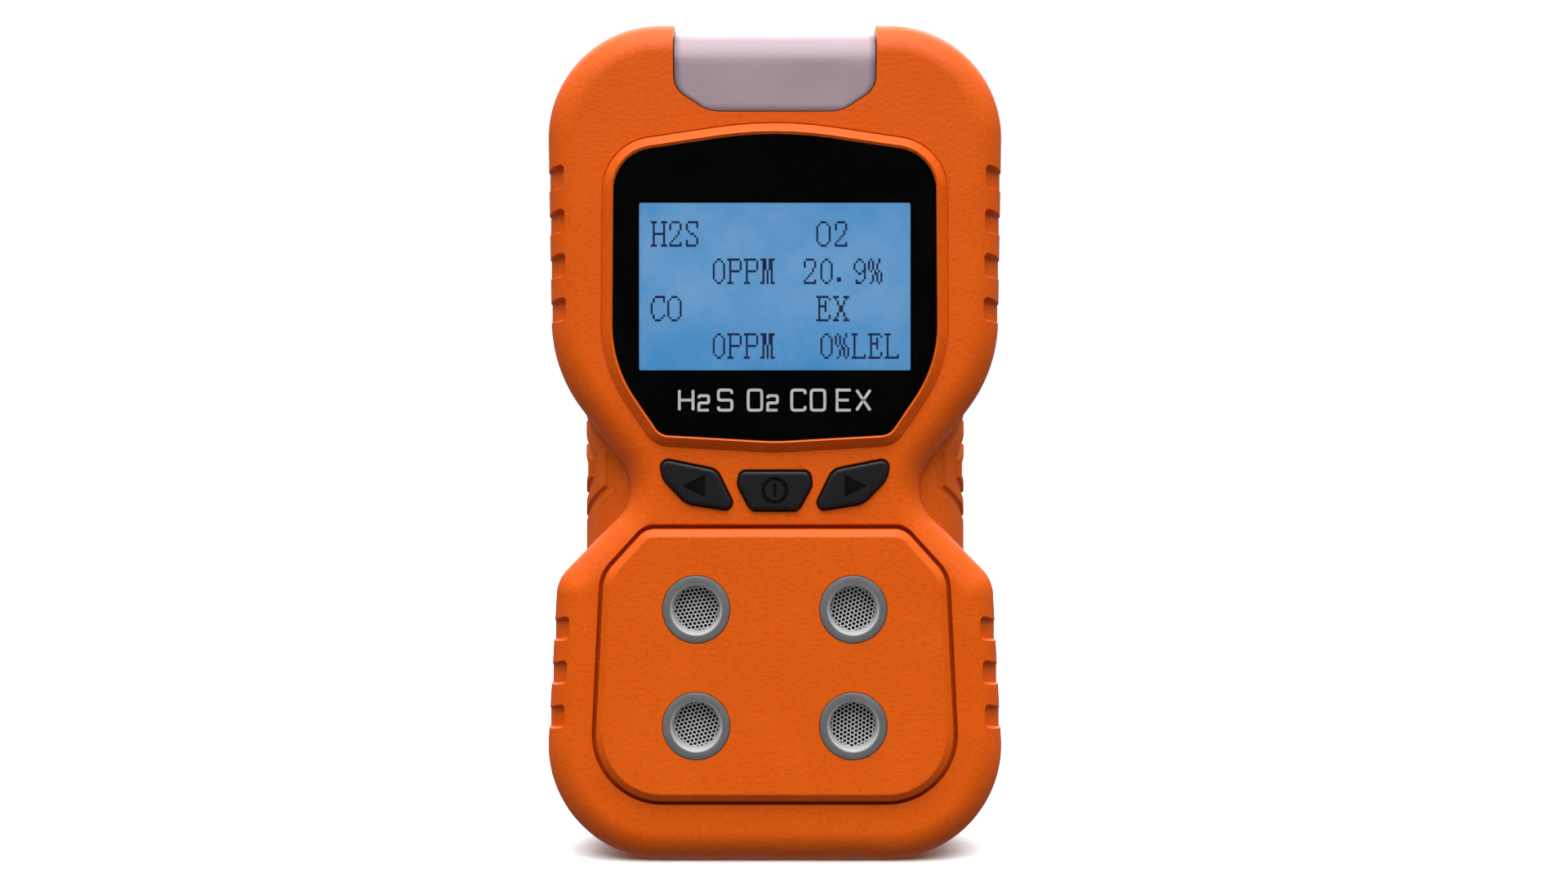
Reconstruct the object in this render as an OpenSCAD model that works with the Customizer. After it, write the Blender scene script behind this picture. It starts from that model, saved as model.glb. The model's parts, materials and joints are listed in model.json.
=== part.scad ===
// Portable four-gas detector. A two-part housing holds a display, three keys, four gas
// sensors behind a raised panel, an alarm light, a battery and a belt clip.
// Millimetres. X is right, Y is back and Z is up. The origin is the middle of the bottom
// face, on the plane where the front and rear covers meet.

/* [Housing] */
// Height of the housing
body_h = 130; // [129:0.5:133]
// Width across the lower block
base_w = 70.8; // [69:0.2:73]
// Width across the head
head_w = 70.7; // [69:0.2:73]
// Width across the waist of the covers, under the side grips
waist_w = 45.2; // [44:0.2:46]
// Height of the middle of the waist
waist_z = 57.3; // [56.5:0.1:58]
// Depth from the parting plane to the front face
front_depth = 15; // [15:0.1:15.6]
// Depth from the parting plane to the rear face
rear_depth = 14; // [14:0.1:15]
// Thickness of the covers' walls
wall = 2.4; // [2:0.1:2.4]
// Radius along the front and rear edges
edge_r = 5; // [4:0.25:5.5]
// Thickness of the seal between the covers
seal_t = 0.6; // [0.4:0.1:0.8]

/* [Display] */
// Width of the part of the liquid crystal that lights up
lcd_view_w = 41.8; // [39:0.2:42]
// Height of the part of the liquid crystal that lights up
lcd_view_h = 25.8; // [24:0.2:26]
// Height of the middle of the liquid crystal
lcd_z = 89; // [88.5:0.1:89.5]
// How far the sloped frame stands in front of the face
frame_rise = 1.2; // [0.8:0.1:1.5]
// Width of the slope round the window
frame_slope = 1.75; // [1.4:0.05:1.9]
// Thickness of the window
lens_t = 1.2; // [1:0.1:1.4]

/* [Keys] */
// How far a key stands in front of the face
key_rise = 0.8; // [0.4:0.1:1.2]
// How far a key travels
key_travel = 0.5; // [0.3:0.05:0.5]
// Gap between a key and its hole
key_gap = 0.2; // [0.15:0.01:0.25]

/* [Sensors] */
// Distance between the sensors from side to side
port_pitch_x = 24.1; // [23.5:0.1:25]
// Distance between the sensors from top to bottom
port_pitch_z = 17.9; // [17.4:0.1:18.4]
// Height of the middle of the four sensors
port_mid_z = 30.4; // [30:0.1:30.8]
// Outside diameter of a port ring
ring_d = 10.35; // [10:0.05:11]
// Diameter of the port at its mouth
mouth_d = 7.5; // [7.2:0.05:8]
// Diameter of the port at its screen
throat_d = 6.75; // [6.4:0.05:7]
// Distance between the holes of a screen
screen_pitch = 0.655; // [0.64:0.005:0.8]
// Diameter of a sensor's can
sensor_d = 14.6; // [13.6:0.1:15]

/* [Side grips] */
// Radius of a grip's rounded section
grip_r = 10; // [9.5:0.1:10.5]
// Width across both grips
grip_w = 60.6; // [60:0.2:61.2]
// Depth of a grip's grooves
groove_depth = 0.5; // [0.3:0.05:0.7]

/* [Belt clip] */
// Width of the clip's base plate
clip_w = 22; // [20:0.5:24]
// Distance from the rear face to the hinge pin
clip_reach = 5; // [4.8:0.1:5.4]
// Diameter of the hinge pin
clip_pin_d = 3; // [2.6:0.1:3.2]

/* [Hidden] */

$fn = 48;
arc_step = 9;
edge_steps = 5;
eps = 0.1;

// Colours
orange = "#d65c0a";
grip_orange = "#d0590c";
charcoal = "#212023";
black = "#0a0a0a";
steel = "#b8babd";
ring_grey = "#666668";
board_green = "#1f5a36";
white = "#e8e8e4";
glass_blue = "#4b8ec3";
mauve = "#ac959f";
brass = "#c8a24a";

// Levels along Y, from the front to the rear
front_y = -front_depth;
rear_y = rear_depth;
inner_front_y = front_y + wall;
inner_rear_y = rear_y - wall;
seam_y = seal_t / 2;
lens_y = front_y - frame_rise + 0.05;
mask_y = lens_y + lens_t;
gasket_y = mask_y + 0.2;
ledge_y = gasket_y + 0.75;
panel_y = front_y - 1.5;
panel_floor_y = front_y + 1.6;
sensor_floor_y = panel_floor_y + 1.8;
sensor_y = sensor_floor_y + 0.8;
sensor_board_y = sensor_y + 9;
main_board_y = -8.6;
board_t = 1.6;
battery_y = 0.9;

// Corners [x, z, radius] of the right half of each outline, bottom to top
body_corners = [
    [base_w / 2 + 1, 0, 17.8],
    [34, waist_z - 13.7, 6],
    [waist_w / 2 - 2.1, waist_z, 6.7],
    [34.75, waist_z + 19, 23],
    [head_w / 2 + 0.3, body_h, 17.5],
];
lens_corners = [[17.6, 66.2, 2.5], [24.95, 77, 20], [24.75, 109.4, 6.5]];
lens_bottom = [[0, 65.2, 40]];
lens_top = [[0, 113.1, 60]];
panel_corners = [[28.3, 9.5, 10.5], [26.6, 44.6, 6], [20, 51.9, 3.5]];
alarm_corners = [[10.2, 116.1, 6], [15.5, 119.6, 3.5], [15.7, body_h + 6, 0]];
power_key_corners = [[3.6, 54.6, 1], [5.65, 58.4, 1.2], [5.3, 60.5, 1]];
arrow_key_corners = [
    [6, 54.5, 0.9],
    [13.6, 55.7, 3],
    [17, 59.2, 2.5],
    [17.9, 62.5, 1.1],
    [9, 60.7, 2.2],
];

// Places [x, z] of what repeats
port_x = port_pitch_x / 2;
port_z = [port_mid_z - port_pitch_z / 2, port_mid_z + port_pitch_z / 2];
port_h2s = [-port_x, port_z[1]];
port_o2 = [port_x, port_z[1]];
port_co = [-port_x, port_z[0]];
port_ex = [port_x, port_z[0]];
ports = [port_h2s, port_o2, port_co, port_ex];
housing_screw_places = [[-27.5, 117.6], [27.5, 117.6], [-26.5, 11.5], [26.5, 11.5]];
main_screw_places = [[-29, 104], [29, 104], [-17.5, 50.8], [17.5, 50.8]];
sensor_screw_places = [[-22.9, 45.5], [22.9, 45.5], [-22.9, 19], [22.9, 19]];
panel_screw_places = [[-23.3, 30.4], [23.3, 30.4], [0, 47.2], [0, 13.2]];
retainer_peg_places = [[-8, 64.7], [8, 64.7], [-8, 52.4], [8, 52.4]];
clip_screw_places = [[-6.5, 74.5], [6.5, 74.5]];
arrow_stem = [12, 58.3];
power_stem = [0, 57.6];
head_notch_z = [for (i = [0:3]) 85.7 + 6.83 * i];
base_notch_z = [for (i = [0:2]) 22.8 + 6.8 * i];

// Keys and switches
key_y = front_y - key_rise;
key_flange = 0.55;
key_flange_t = 0.7;
key_flange_y = inner_front_y + 0.3;
key_stem_d = 2.4;
retainer_t = 0.7;
retainer_y = key_flange_y + key_flange_t + key_travel + 0.3;
switch_t = 1.2;
switch_w = 4.5;
plunger_d = 1.8;
plunger_y = retainer_y + retainer_t - 0.2;
plunger_l = 0.95;

// Belt clip
clip_t = 1.2;
clip_base_z = [58, 94];
clip_pin_y = rear_y + clip_reach;
clip_pin_z = 84;
clip_ear_z = [79, 89];
jaw_t = 1.4;
jaw_w = 18;
jaw_reach = 2.6;
jaw_bore_gap = 0.05;
knuckle_d = clip_pin_d + 2.6;
coil_wire_d = 0.8;
coil_turns = 7;
coil_w = (coil_turns - 1) * coil_wire_d * 0.95;

// Charging port and its cover
charge_z = 12.5;
flap_pin_y = rear_y - 0.95;
flap_pin_z = charge_z + 4.8;
flap_pin_d = 1.2;
flap_w = 19;
flap_t = 1.4;

// Alarm motor
motor_d = 7;
motor_y = 4;
motor_z = 86;
motor_x = [-24, -9];
shaft_d = 1;

// ---- Outlines ----

function unit(v) = v / norm(v);

function turned(v, a) = [v.x * cos(a) - v.y * sin(a), v.x * sin(a) + v.y * cos(a)];

// The arc that rounds the corner b between a and c
function corner_arc(a, b, c, r) =
    r == 0 ? [b] :
    let (
        u = unit(a - b),
        w = unit(c - b),
        half = acos(u * w) / 2,
        centre = b + unit(u + w) * r / sin(half),
        start = b + u * r / tan(half) - centre,
        turn = (180 - 2 * half) * sign(cross(b - a, c - b)),
        steps = ceil(abs(turn) / arc_step)
    )
    [for (i = [0:steps]) centre + turned(start, turn * i / steps)];

// The points of an outline whose corners are [x, z, radius]
function rounded(corners) =
    let (n = len(corners), p = [for (c = corners) [c[0], c[1]]])
    [for (i = [0:n - 1]) each corner_arc(p[(i + n - 1) % n], p[i], p[(i + 1) % n], corners[i][2])];

// The left half of an outline, from the corners of its right half
function mirrored(corners) = [for (i = [len(corners) - 1:-1:0]) [-corners[i][0], corners[i][1], corners[i][2]]];

function both_sides(right, bottom = [], top = []) = rounded(concat(bottom, right, top, mirrored(right)));

// An outline moved inwards by d
function inset(points, d) =
    let (n = len(points))
    [for (i = [0:n - 1])
        let (
            e0 = unit(points[i] - points[(i + n - 1) % n]),
            e1 = unit(points[(i + 1) % n] - points[i]),
            n0 = [-e0.y, e0.x],
            n1 = [-e1.y, e1.x]
        )
        points[i] + (n0 + n1) * d / (1 + n0 * n1)
    ];

function box_outline(w, z0, z1, r) = both_sides([[w / 2, z0, r], [w / 2, z1, r]]);

body_outline = both_sides(body_corners);
lens_outline = both_sides(lens_corners, lens_bottom, lens_top);
panel_outline = both_sides(panel_corners);
alarm_outline = both_sides(alarm_corners);
power_key_outline = both_sides(power_key_corners);
right_key_outline = rounded(mirrored(mirrored(arrow_key_corners)));
left_key_outline = rounded(mirrored(arrow_key_corners));

// Half width of the covers beside the notches, where the sides are nearly straight
function side_x(z) =
    let (
        low = z < waist_z ? body_corners[0] : body_corners[3],
        high = z < waist_z ? body_corners[1] : body_corners[4]
    )
    low[0] + (high[0] - low[0]) * (z - low[1]) / (high[1] - low[1]);

// ---- Simple solids ----

// A plate with this outline in X and Z, from y0 back to y1
module plate(outline, y0, y1) {
    rotate([90, 0, 0]) translate([0, 0, -y1]) linear_extrude(y1 - y0) polygon(outline);
}

// A strip with this outline in Y and Z, from x0 to x1
module strip(outline, x0, x1) {
    translate([x0, 0, 0]) rotate([90, 0, 90]) linear_extrude(x1 - x0) polygon(outline);
}

// A round rod along Y
module rod(at, d, y0, y1) {
    translate([at.x, y0, at.y]) rotate([-90, 0, 0]) cylinder(d = d, h = y1 - y0);
}

// A cone along Y
module cone(at, d0, d1, y0, y1) {
    translate([at.x, y0, at.y]) rotate([-90, 0, 0]) cylinder(d1 = d0, d2 = d1, h = y1 - y0);
}

// A round bar along X
module bar(y, z, d, x0, x1) {
    translate([x0, y, z]) rotate([0, 90, 0]) cylinder(d = d, h = x1 - x0);
}

module block(x, y, z) {
    translate([x[0], y[0], z[0]]) cube([x[1] - x[0], y[1] - y[0], z[1] - z[0]]);
}

module both() {
    children();
    mirror([1, 0, 0]) children();
}

// A solid through rings [outline, y] with the same number of points, front to rear
module loft(rings) {
    n = len(rings[0][0]);
    last = len(rings) - 1;
    polyhedron(
        points = [for (ring = rings) for (p = ring[0]) [p.x, ring[1], p.y]],
        faces = concat(
            [[for (i = [n - 1:-1:0]) i]],
            [for (k = [0:last - 1]) for (i = [0:n - 1])
                [k * n + i, k * n + (i + 1) % n, (k + 1) * n + (i + 1) % n, (k + 1) * n + i]],
            [[for (i = [0:n - 1]) last * n + i]]
        )
    );
}

// Half of the housing as a full solid, with its outer edge rounded. The loft runs on past
// both ends, so that the face and the seam are each one flat cut.
module rounded_half(face_y, seam) {
    side = sign(seam - face_y);
    past = 2;
    profile = concat(
        [[edge_r, face_y - side * past]],
        [for (i = [0:edge_steps])
            let (t = 90 * i / edge_steps)
            [edge_r * (1 - sin(t)), face_y + side * edge_r * (1 - cos(t))]],
        [[0, seam + side * past]]
    );
    last = len(profile) - 1;
    intersection() {
        loft([for (i = [0:last]) let (p = profile[side > 0 ? i : last - i]) [inset(body_outline, p[0]), p[1]]]);
        block([-50, 50], [min(face_y, seam), max(face_y, seam)], [-10, body_h + 10]);
    }
}

// The sloped frame round the window
module window_frame() {
    past = 1;
    intersection() {
        loft([
            [inset(lens_outline, -0.3), front_y - frame_rise - past],
            [inset(lens_outline, -0.3), front_y - frame_rise],
            [inset(lens_outline, -frame_slope), front_y],
            [inset(lens_outline, -frame_slope), front_y + past],
        ]);
        block([-50, 50], [front_y - frame_rise, front_y + past / 2], [0, body_h]);
    }
}

// A recess across the rounded edge, drawn from the centre of the edge's arc
module notch() {
    depth = 1.1;
    height = 3.75;
    end_x = 2.7;
    tail = 6;
    out = 3;
    floor_r = edge_r - depth;
    end_a = asin(end_x / floor_r);
    floor = [for (i = [0:4]) let (a = 90 - (90 - end_a) * i / 4) [floor_r * sin(a), -floor_r * cos(a)]];
    translate([0, 0, -height / 2]) linear_extrude(height) polygon(concat(
        [[end_x, -edge_r - out], [edge_r + out, -edge_r - out], [edge_r + out, tail], [floor_r, tail]],
        floor
    ));
}

// All the recesses on one half of the housing
module notches(face_y) {
    side = face_y < 0 ? 1 : -1;
    both() for (z = concat(head_notch_z, base_notch_z))
        translate([side_x(z) - edge_r, face_y + side * edge_r, z]) scale([1, side, 1]) notch();
}

// Pockets in the covers' waist for the grips' lugs
module grip_lug(side, x0) {
    block([x0, waist_w / 2 + 1], side > 0 ? [2, 6] : [-6, -2], [waist_z - 3, waist_z + 3]);
}

module alarm_opening(gap) {
    plate(inset(alarm_outline, -gap), front_y - 2, 8 + gap);
}

// ---- Housing ----

module front_cover() color(orange) difference() {
    union() {
        difference() {
            union() {
                rounded_half(front_y, -seam_y);
                window_frame();
            }
            plate(inset(body_outline, wall), inner_front_y, 1);
        }
        plate(inset(panel_outline, -0.8), inner_front_y - eps, sensor_floor_y);
        for (at = housing_screw_places) rod(at, 7, inner_front_y - eps, 0);
        for (at = main_screw_places) rod(at, 4.4, inner_front_y - eps, main_board_y);
        for (at = sensor_screw_places) rod(at, 4.4, inner_front_y - eps, sensor_board_y);
        for (at = retainer_peg_places) rod(at, 3, inner_front_y - eps, retainer_y);
        for (at = retainer_peg_places) rod(at, 1.4, inner_front_y, retainer_y + retainer_t);
    }
    plate(inset(lens_outline, -0.1), lens_y - 2, ledge_y);
    plate(box_outline(lcd_view_w + 3.8, lcd_z - 14.8, lcd_z + 14.8, 0.5), ledge_y - eps, inner_front_y + eps);
    for (key = [power_key_outline, left_key_outline, right_key_outline])
        plate(inset(key, -key_gap), front_y - 3, inner_front_y + 0.3);
    plate(inset(panel_outline, -0.35), front_y - 3, panel_floor_y);
    for (at = ports) rod(at, 7, panel_floor_y - eps, sensor_floor_y + eps);
    for (at = panel_screw_places) rod(at, 2.2, panel_floor_y - eps, sensor_floor_y + eps);
    for (at = housing_screw_places) rod(at, 2.6, -9, eps);
    for (at = main_screw_places) rod(at, 1.7, main_board_y - 3, main_board_y + eps);
    for (at = sensor_screw_places) rod(at, 1.7, sensor_board_y - 4, sensor_board_y + eps);
    notches(front_y);
    both() grip_lug(-1, waist_w / 2 - 1);
    alarm_opening(0.15);
}

module rear_cover() color(orange) difference() {
    union() {
        difference() {
            rounded_half(rear_y, seam_y);
            plate(inset(body_outline, wall), -1, inner_rear_y);
        }
        block([-12, 12], [inner_rear_y - 1, inner_rear_y + eps], [4.6, 20]);
        for (at = housing_screw_places) rod(at, 7, 0, inner_rear_y + eps);
        for (at = clip_screw_places) rod(at, 5, inner_rear_y - 6, inner_rear_y + eps);
        rod([0, 110], 17, inner_rear_y - 2, inner_rear_y + eps);
        for (x = [-8.5, 8.5]) rod([x, 7.4], 3.4, 6.8, inner_rear_y);
        both() block([17.4, 18.6], [3, inner_rear_y + eps], [22, 52]);
        for (x = [-21, -13]) block([x, x + 1.5], [motor_y, inner_rear_y + eps], [motor_z - 5, motor_z + 5]);
    }
    bar(motor_y, motor_z, motor_d + 0.1, -26, -8);
    rod([0, 110], 15.2, inner_rear_y - 3, inner_rear_y);
    rod([0, 110], 1.5, inner_rear_y - 1, rear_y + 1);
    for (a = [0:60:300]) rod([4 * cos(a), 110 + 4 * sin(a)], 1.5, inner_rear_y - 1, rear_y + 1);
    for (at = housing_screw_places) {
        rod(at, 3, -eps, rear_y);
        rod(at, 5.6, rear_y - 2.8, rear_y + 1);
    }
    for (at = clip_screw_places) rod(at, 2.1, inner_rear_y - 5, rear_y + 1);
    plate(box_outline(40.4, 25.8, 46.2, 1.5), rear_y - 0.2, rear_y + 1);
    block([-4.9, 4.9], [inner_rear_y - 2, rear_y], [charge_z - 1.9, charge_z + 1.9]);
    block([-10, 10], [rear_y - 1.6, rear_y + 1], [charge_z - 5.7, flap_pin_z + 1.4]);
    block([-10, 10], [rear_y - 2.2, rear_y + 1], [flap_pin_z - 1.4, flap_pin_z + 1.4]);
    bar(flap_pin_y, flap_pin_z, flap_pin_d, -11, 11);
    notches(rear_y);
    both() grip_lug(1, waist_w / 2 - 1);
    alarm_opening(0.15);
}

module housing_seal() color(black) difference() {
    plate(inset(body_outline, 0.25), -seam_y, seam_y);
    plate(inset(body_outline, wall - 0.3), -1, 1);
    alarm_opening(0.3);
}

// A pan-head screw along Y, with its head at the rear
module screw(at, head_y, head_d, head_t, shank_d, shank_l) {
    difference() {
        rod(at, head_d, head_y, head_y + head_t);
        block([at.x - 0.25, at.x + 0.25], [head_y + head_t - 0.5, head_y + 3], [at.y - 1.1, at.y + 1.1]);
        block([at.x - 1.1, at.x + 1.1], [head_y + head_t - 0.5, head_y + 3], [at.y - 0.25, at.y + 0.25]);
    }
    rod(at, shank_d, head_y - shank_l, head_y);
}

module housing_screws() color(steel) for (at = housing_screw_places) screw(at, rear_y - 2.8, 5, 1.8, 2.5, 18);

module side_grip() difference() {
    union() {
        difference() {
            translate([grip_w / 2 - grip_r, 0, waist_z - 16]) cylinder(r = grip_r, h = 32, $fn = 96);
            plate(inset(body_outline, -0.05), -20, 20);
        }
        grip_lug(1, waist_w / 2 - 0.9);
        grip_lug(-1, waist_w / 2 - 0.9);
    }
    // Nested grooves, each a six-sided ring seen from the side, cut to an even depth
    difference() {
        for (arc = [[9.25, 11.05], [5.25, 7.05], [0, 3.05]]) difference() {
            hex_prism(arc[1]);
            if (arc[0] > 0) hex_prism(arc[0]);
        }
        translate([grip_w / 2 - grip_r, 0, 0]) cylinder(r = grip_r - groove_depth, h = 130, $fn = 96);
    }
}

// A six-sided prism along X that reaches this far round the grip from its middle
module hex_prism(reach) {
    half_y = grip_r * sin(reach / grip_r * 180 / PI);
    tip_z = reach * 0.89;
    side_z = reach * 0.31;
    mid_z = waist_z + 1.5;
    strip([
        [half_y, mid_z - side_z], [half_y, mid_z + side_z], [0, mid_z + tip_z],
        [-half_y, mid_z + side_z], [-half_y, mid_z - side_z], [0, mid_z - tip_z],
    ], 20, 34);
}

module side_grip_right() color(grip_orange) side_grip();
module side_grip_left() color(grip_orange) mirror([1, 0, 0]) side_grip();

module rating_label() color(white) plate(box_outline(40, 26, 46, 1.3), rear_y - 0.2, rear_y);

// ---- Display ----

module display_window() color(black) plate(lens_outline, lens_y, mask_y);

module display_mask() color(black) difference() {
    plate(lens_outline, mask_y, gasket_y);
    plate(box_outline(lcd_view_w, lcd_z - lcd_view_h / 2, lcd_z + lcd_view_h / 2, 0.3), mask_y - 1, gasket_y + 1);
}

module display_gasket() color(charcoal) difference() {
    plate(lens_outline, gasket_y, ledge_y);
    plate(box_outline(lcd_view_w + 4, lcd_z - 15, lcd_z + 15, 0.5), gasket_y - 1, ledge_y + 1);
}

lcd_y = ledge_y + 0.3;
lcd_outline = box_outline(lcd_view_w + 3.2, lcd_z - 14.5, lcd_z + 14.5, 0.3);

module lcd_panel() color(glass_blue) plate(lcd_outline, lcd_y, lcd_y + 2);

module lcd_backlight() color(white) plate(lcd_outline, lcd_y + 2, lcd_y + 4.4);

module lcd_holder() color(black) difference() {
    plate(box_outline(lcd_view_w + 6.6, lcd_z - 15.8, lcd_z + 15.8, 1), inner_front_y + eps, main_board_y);
    plate(inset(lcd_outline, -0.1), -20, lcd_y + 4.4);
    plate(box_outline(36, lcd_z - 11, lcd_z + 11, 1), -20, 0);
    block([-11.5, 11.5], [lcd_y + 4.2, 0], [lcd_z - 17, lcd_z - 10]);
}

module lcd_flex() color("#b8752e") {
    z0 = lcd_z - 17.5;
    strip([
        [lcd_y + 4.4, lcd_z - 10], [lcd_y + 4.6, lcd_z - 10], [lcd_y + 4.6, z0 + 0.2],
        [main_board_y, z0 + 0.2], [main_board_y, z0], [lcd_y + 4.4, z0],
    ], -11, 11);
}

// ---- Electronics ----

module main_board() color(board_green) difference() {
    union() {
        intersection() {
            plate(inset(body_outline, wall + 1), main_board_y, main_board_y + board_t);
            block([-40, 40], [-20, 20], [49.5, 112.5]);
        }
        block([-13, 13], [main_board_y, main_board_y + board_t], [112, 124]);
    }
    for (at = main_screw_places) rod(at, 2, -20, 20);
}

module board_chips() color(charcoal) {
    back = main_board_y + board_t;
    block([-6, 6], [back, back + 1.4], [92, 104]);
    block([12, 20], [back, back + 1.2], [94, 102]);
    block([-24, -16], [back, back + 2.2], [96, 102]);
    block([8, 14], [back, back + 2.8], [60, 66]);
    block([-12, 12], [main_board_y - 1, main_board_y], [lcd_z - 20.5, lcd_z - 18]);
}

module board_screws() color(steel) {
    for (at = main_screw_places) screw(at, main_board_y + board_t, 3.4, 1.1, 1.6, 4.2);
    for (at = sensor_screw_places) screw(at, sensor_board_y + board_t, 3.4, 1.1, 1.6, 4.2);
}

module alarm_leds() color(white) for (x = [-9, -3, 3, 9])
    block([x - 1.75, x + 1.75], [main_board_y - 1.9, main_board_y], [118.8, 121.6]);

window_top = body_h - 1.5;
window_front = front_y + 0.2;
window_bend = 5;
window_t = 2;

// The side view of the window's bend, as [y, z] points on an arc of radius r
function bend_arc(r) = [for (a = [0:15:90])
    [window_front + window_bend - r * cos(a), window_top - window_bend + r * sin(a)]];

module alarm_window() color(mauve) {
    inner_arc = bend_arc(window_bend - window_t);
    last = len(inner_arc) - 1;
    intersection() {
        plate(alarm_outline, -20, 8);
        strip(concat(
            [[window_front, 100]], bend_arc(window_bend), [[8, window_top], [8, window_top - window_t]],
            [for (i = [last:-1:0]) inner_arc[i]], [[window_front + window_t, 100]]
        ), -20, 20);
    }
    intersection() {
        plate(inset(alarm_outline, -1.2), inner_front_y + 0.02, inner_front_y + 1.2);
        block([-20, 20], [-20, 0], [110, window_top - 2.5]);
    }
}

module sensor_board() color(board_green) difference() {
    plate(box_outline(50.4, 15.6, 48.8, 1), sensor_board_y, sensor_board_y + board_t);
    for (at = sensor_screw_places) rod(at, 2, -20, 20);
    for (at = ports) sensor_pins(at, 1.3);
}

// Three pins on a circle, as the sensors have
module sensor_pins(at, d) {
    for (a = [90, 210, 330]) rod(at + 5 * [cos(a), sin(a)], d, sensor_board_y - 1, sensor_board_y + 2);
}

module link_flex() color("#b8752e") {
    back = main_board_y + board_t;
    rear = sensor_board_y + board_t;
    strip([
        [back, 48.9], [back, 56], [back + 0.2, 56], [back + 0.2, 49.1], [rear + 0.2, 49.1],
        [rear + 0.2, 44], [rear, 44], [rear, 48.9],
    ], -6, 6);
}

module battery_pack() color("#2b4f8f") plate(box_outline(34, 20, 69, 3), battery_y, battery_y + 10);

module battery_contacts() color(brass) {
    back = main_board_y + board_t;
    both() strip([
        [battery_y + 7, 69], [battery_y + 7, 69.3], [back + 0.3, 69.3], [back + 0.3, 73], [back, 73], [back, 69],
    ], 4, 7);
}

module charge_board() color(board_green) block([-11, 11], [5.6, 6.8], [5.5, 18.5]);

module charging_socket() color(steel) {
    difference() {
        block([-4.6, 4.6], [6.8, 12.2], [charge_z - 1.6, charge_z + 1.6]);
        block([-4.2, 4.2], [7.6, 13], [charge_z - 1.2, charge_z + 1.2]);
    }
    block([-3, 3], [7.5, 11.6], [charge_z - 0.35, charge_z + 0.35]);
}

module port_cover() color(charcoal) difference() {
    union() {
        block([-flap_w / 2, flap_w / 2], [rear_y - flap_t, rear_y], [charge_z - 5.4, flap_pin_z]);
        bar(flap_pin_y, flap_pin_z, 2.3, -flap_w / 2, flap_w / 2);
        block([-4, 4], [rear_y - flap_t - 0.3, rear_y - 1], [charge_z - 1.3, charge_z + 1.3]);
        block([-4, 4], [rear_y - 0.5, rear_y + 0.5], [charge_z - 5.4, charge_z - 4.2]);
    }
    bar(flap_pin_y, flap_pin_z, flap_pin_d + 0.1, -20, 20);
}

module port_cover_pin() color(steel) bar(flap_pin_y, flap_pin_z, flap_pin_d, -11, 11);

module buzzer() color(black) difference() {
    rod([0, 110], 15, inner_rear_y - 6.5, inner_rear_y - 0.1);
    rod([0, 110], 3, inner_rear_y - 2, inner_rear_y);
}

module vibration_motor() color(steel) difference() {
    bar(motor_y, motor_z, motor_d, motor_x[0], motor_x[1]);
    bar(motor_y, motor_z, shaft_d + 0.1, motor_x[1] - 12, motor_x[1] + 1);
}

module motor_shaft() color(steel) bar(motor_y, motor_z, shaft_d, motor_x[1] - 11, motor_x[1] + 5.5);

module eccentric_weight() color(brass) difference() {
    bar(motor_y, motor_z, 6.4, motor_x[1] + 1, motor_x[1] + 5);
    bar(motor_y, motor_z, shaft_d, -20, 10);
    block([motor_x[1], motor_x[1] + 6], [motor_y - 5, motor_y + 5], [motor_z + 0.9, motor_z + 5]);
}

// ---- Keys ----

module key(outline, stem) {
    loft([
        [inset(outline, 0.35), key_y],
        [outline, key_y + 0.35],
        [outline, key_flange_y],
    ]);
    plate(inset(outline, -key_flange), key_flange_y, key_flange_y + key_flange_t);
    rod(stem, key_stem_d, key_flange_y + key_flange_t, plunger_y);
}

// An arrowhead cut into a key, pointing to +X
module arrow_mark(at) {
    plate([at + [2.2, 0], at + [-1.3, 1.7], at + [-1.3, -1.7]], key_y - 1, key_y + 0.25);
}

module button_right() color(charcoal) difference() {
    key(right_key_outline, arrow_stem);
    arrow_mark(arrow_stem);
}

module button_left() color(charcoal) difference() {
    key(left_key_outline, [-arrow_stem.x, arrow_stem.y]);
    mirror([1, 0, 0]) arrow_mark(arrow_stem);
}

module button_power() color(charcoal) difference() {
    key(power_key_outline, power_stem);
    difference() {
        rod(power_stem, 4, key_y - 1, key_y + 0.25);
        rod(power_stem, 3.1, key_y - 2, key_y + 1);
    }
    block([-0.25, 0.25], [key_y - 1, key_y + 0.25], [power_stem.y - 1, power_stem.y + 1]);
}

module switch_plunger(stem) rod(stem, plunger_d, plunger_y, plunger_y + plunger_l);

module switch_plunger_left() color(white) switch_plunger([-arrow_stem.x, arrow_stem.y]);
module switch_plunger_power() color(white) switch_plunger(power_stem);
module switch_plunger_right() color(white) switch_plunger(arrow_stem);

module tactile_switches() color(steel) for (at = [[-arrow_stem.x, arrow_stem.y], power_stem, arrow_stem]) difference() {
    plate([for (c = [[-1, -1], [1, -1], [1, 1], [-1, 1]]) at + c * switch_w / 2], main_board_y - switch_t, main_board_y);
    rod(at, plunger_d + 0.2, main_board_y - switch_t - 1, main_board_y - 0.1);
}

module keypad_retainer() color(charcoal) difference() {
    plate(both_sides([[10, 51, 1], [18.6, 56, 1], [18.6, 63.2, 1], [10, 66, 1]]), retainer_y, retainer_y + retainer_t);
    for (at = [[-arrow_stem.x, arrow_stem.y], power_stem, arrow_stem]) rod(at, 3.4, -20, 0);
    for (at = retainer_peg_places) rod(at, 1.5, -20, 0);
}

// ---- Sensors ----

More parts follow.
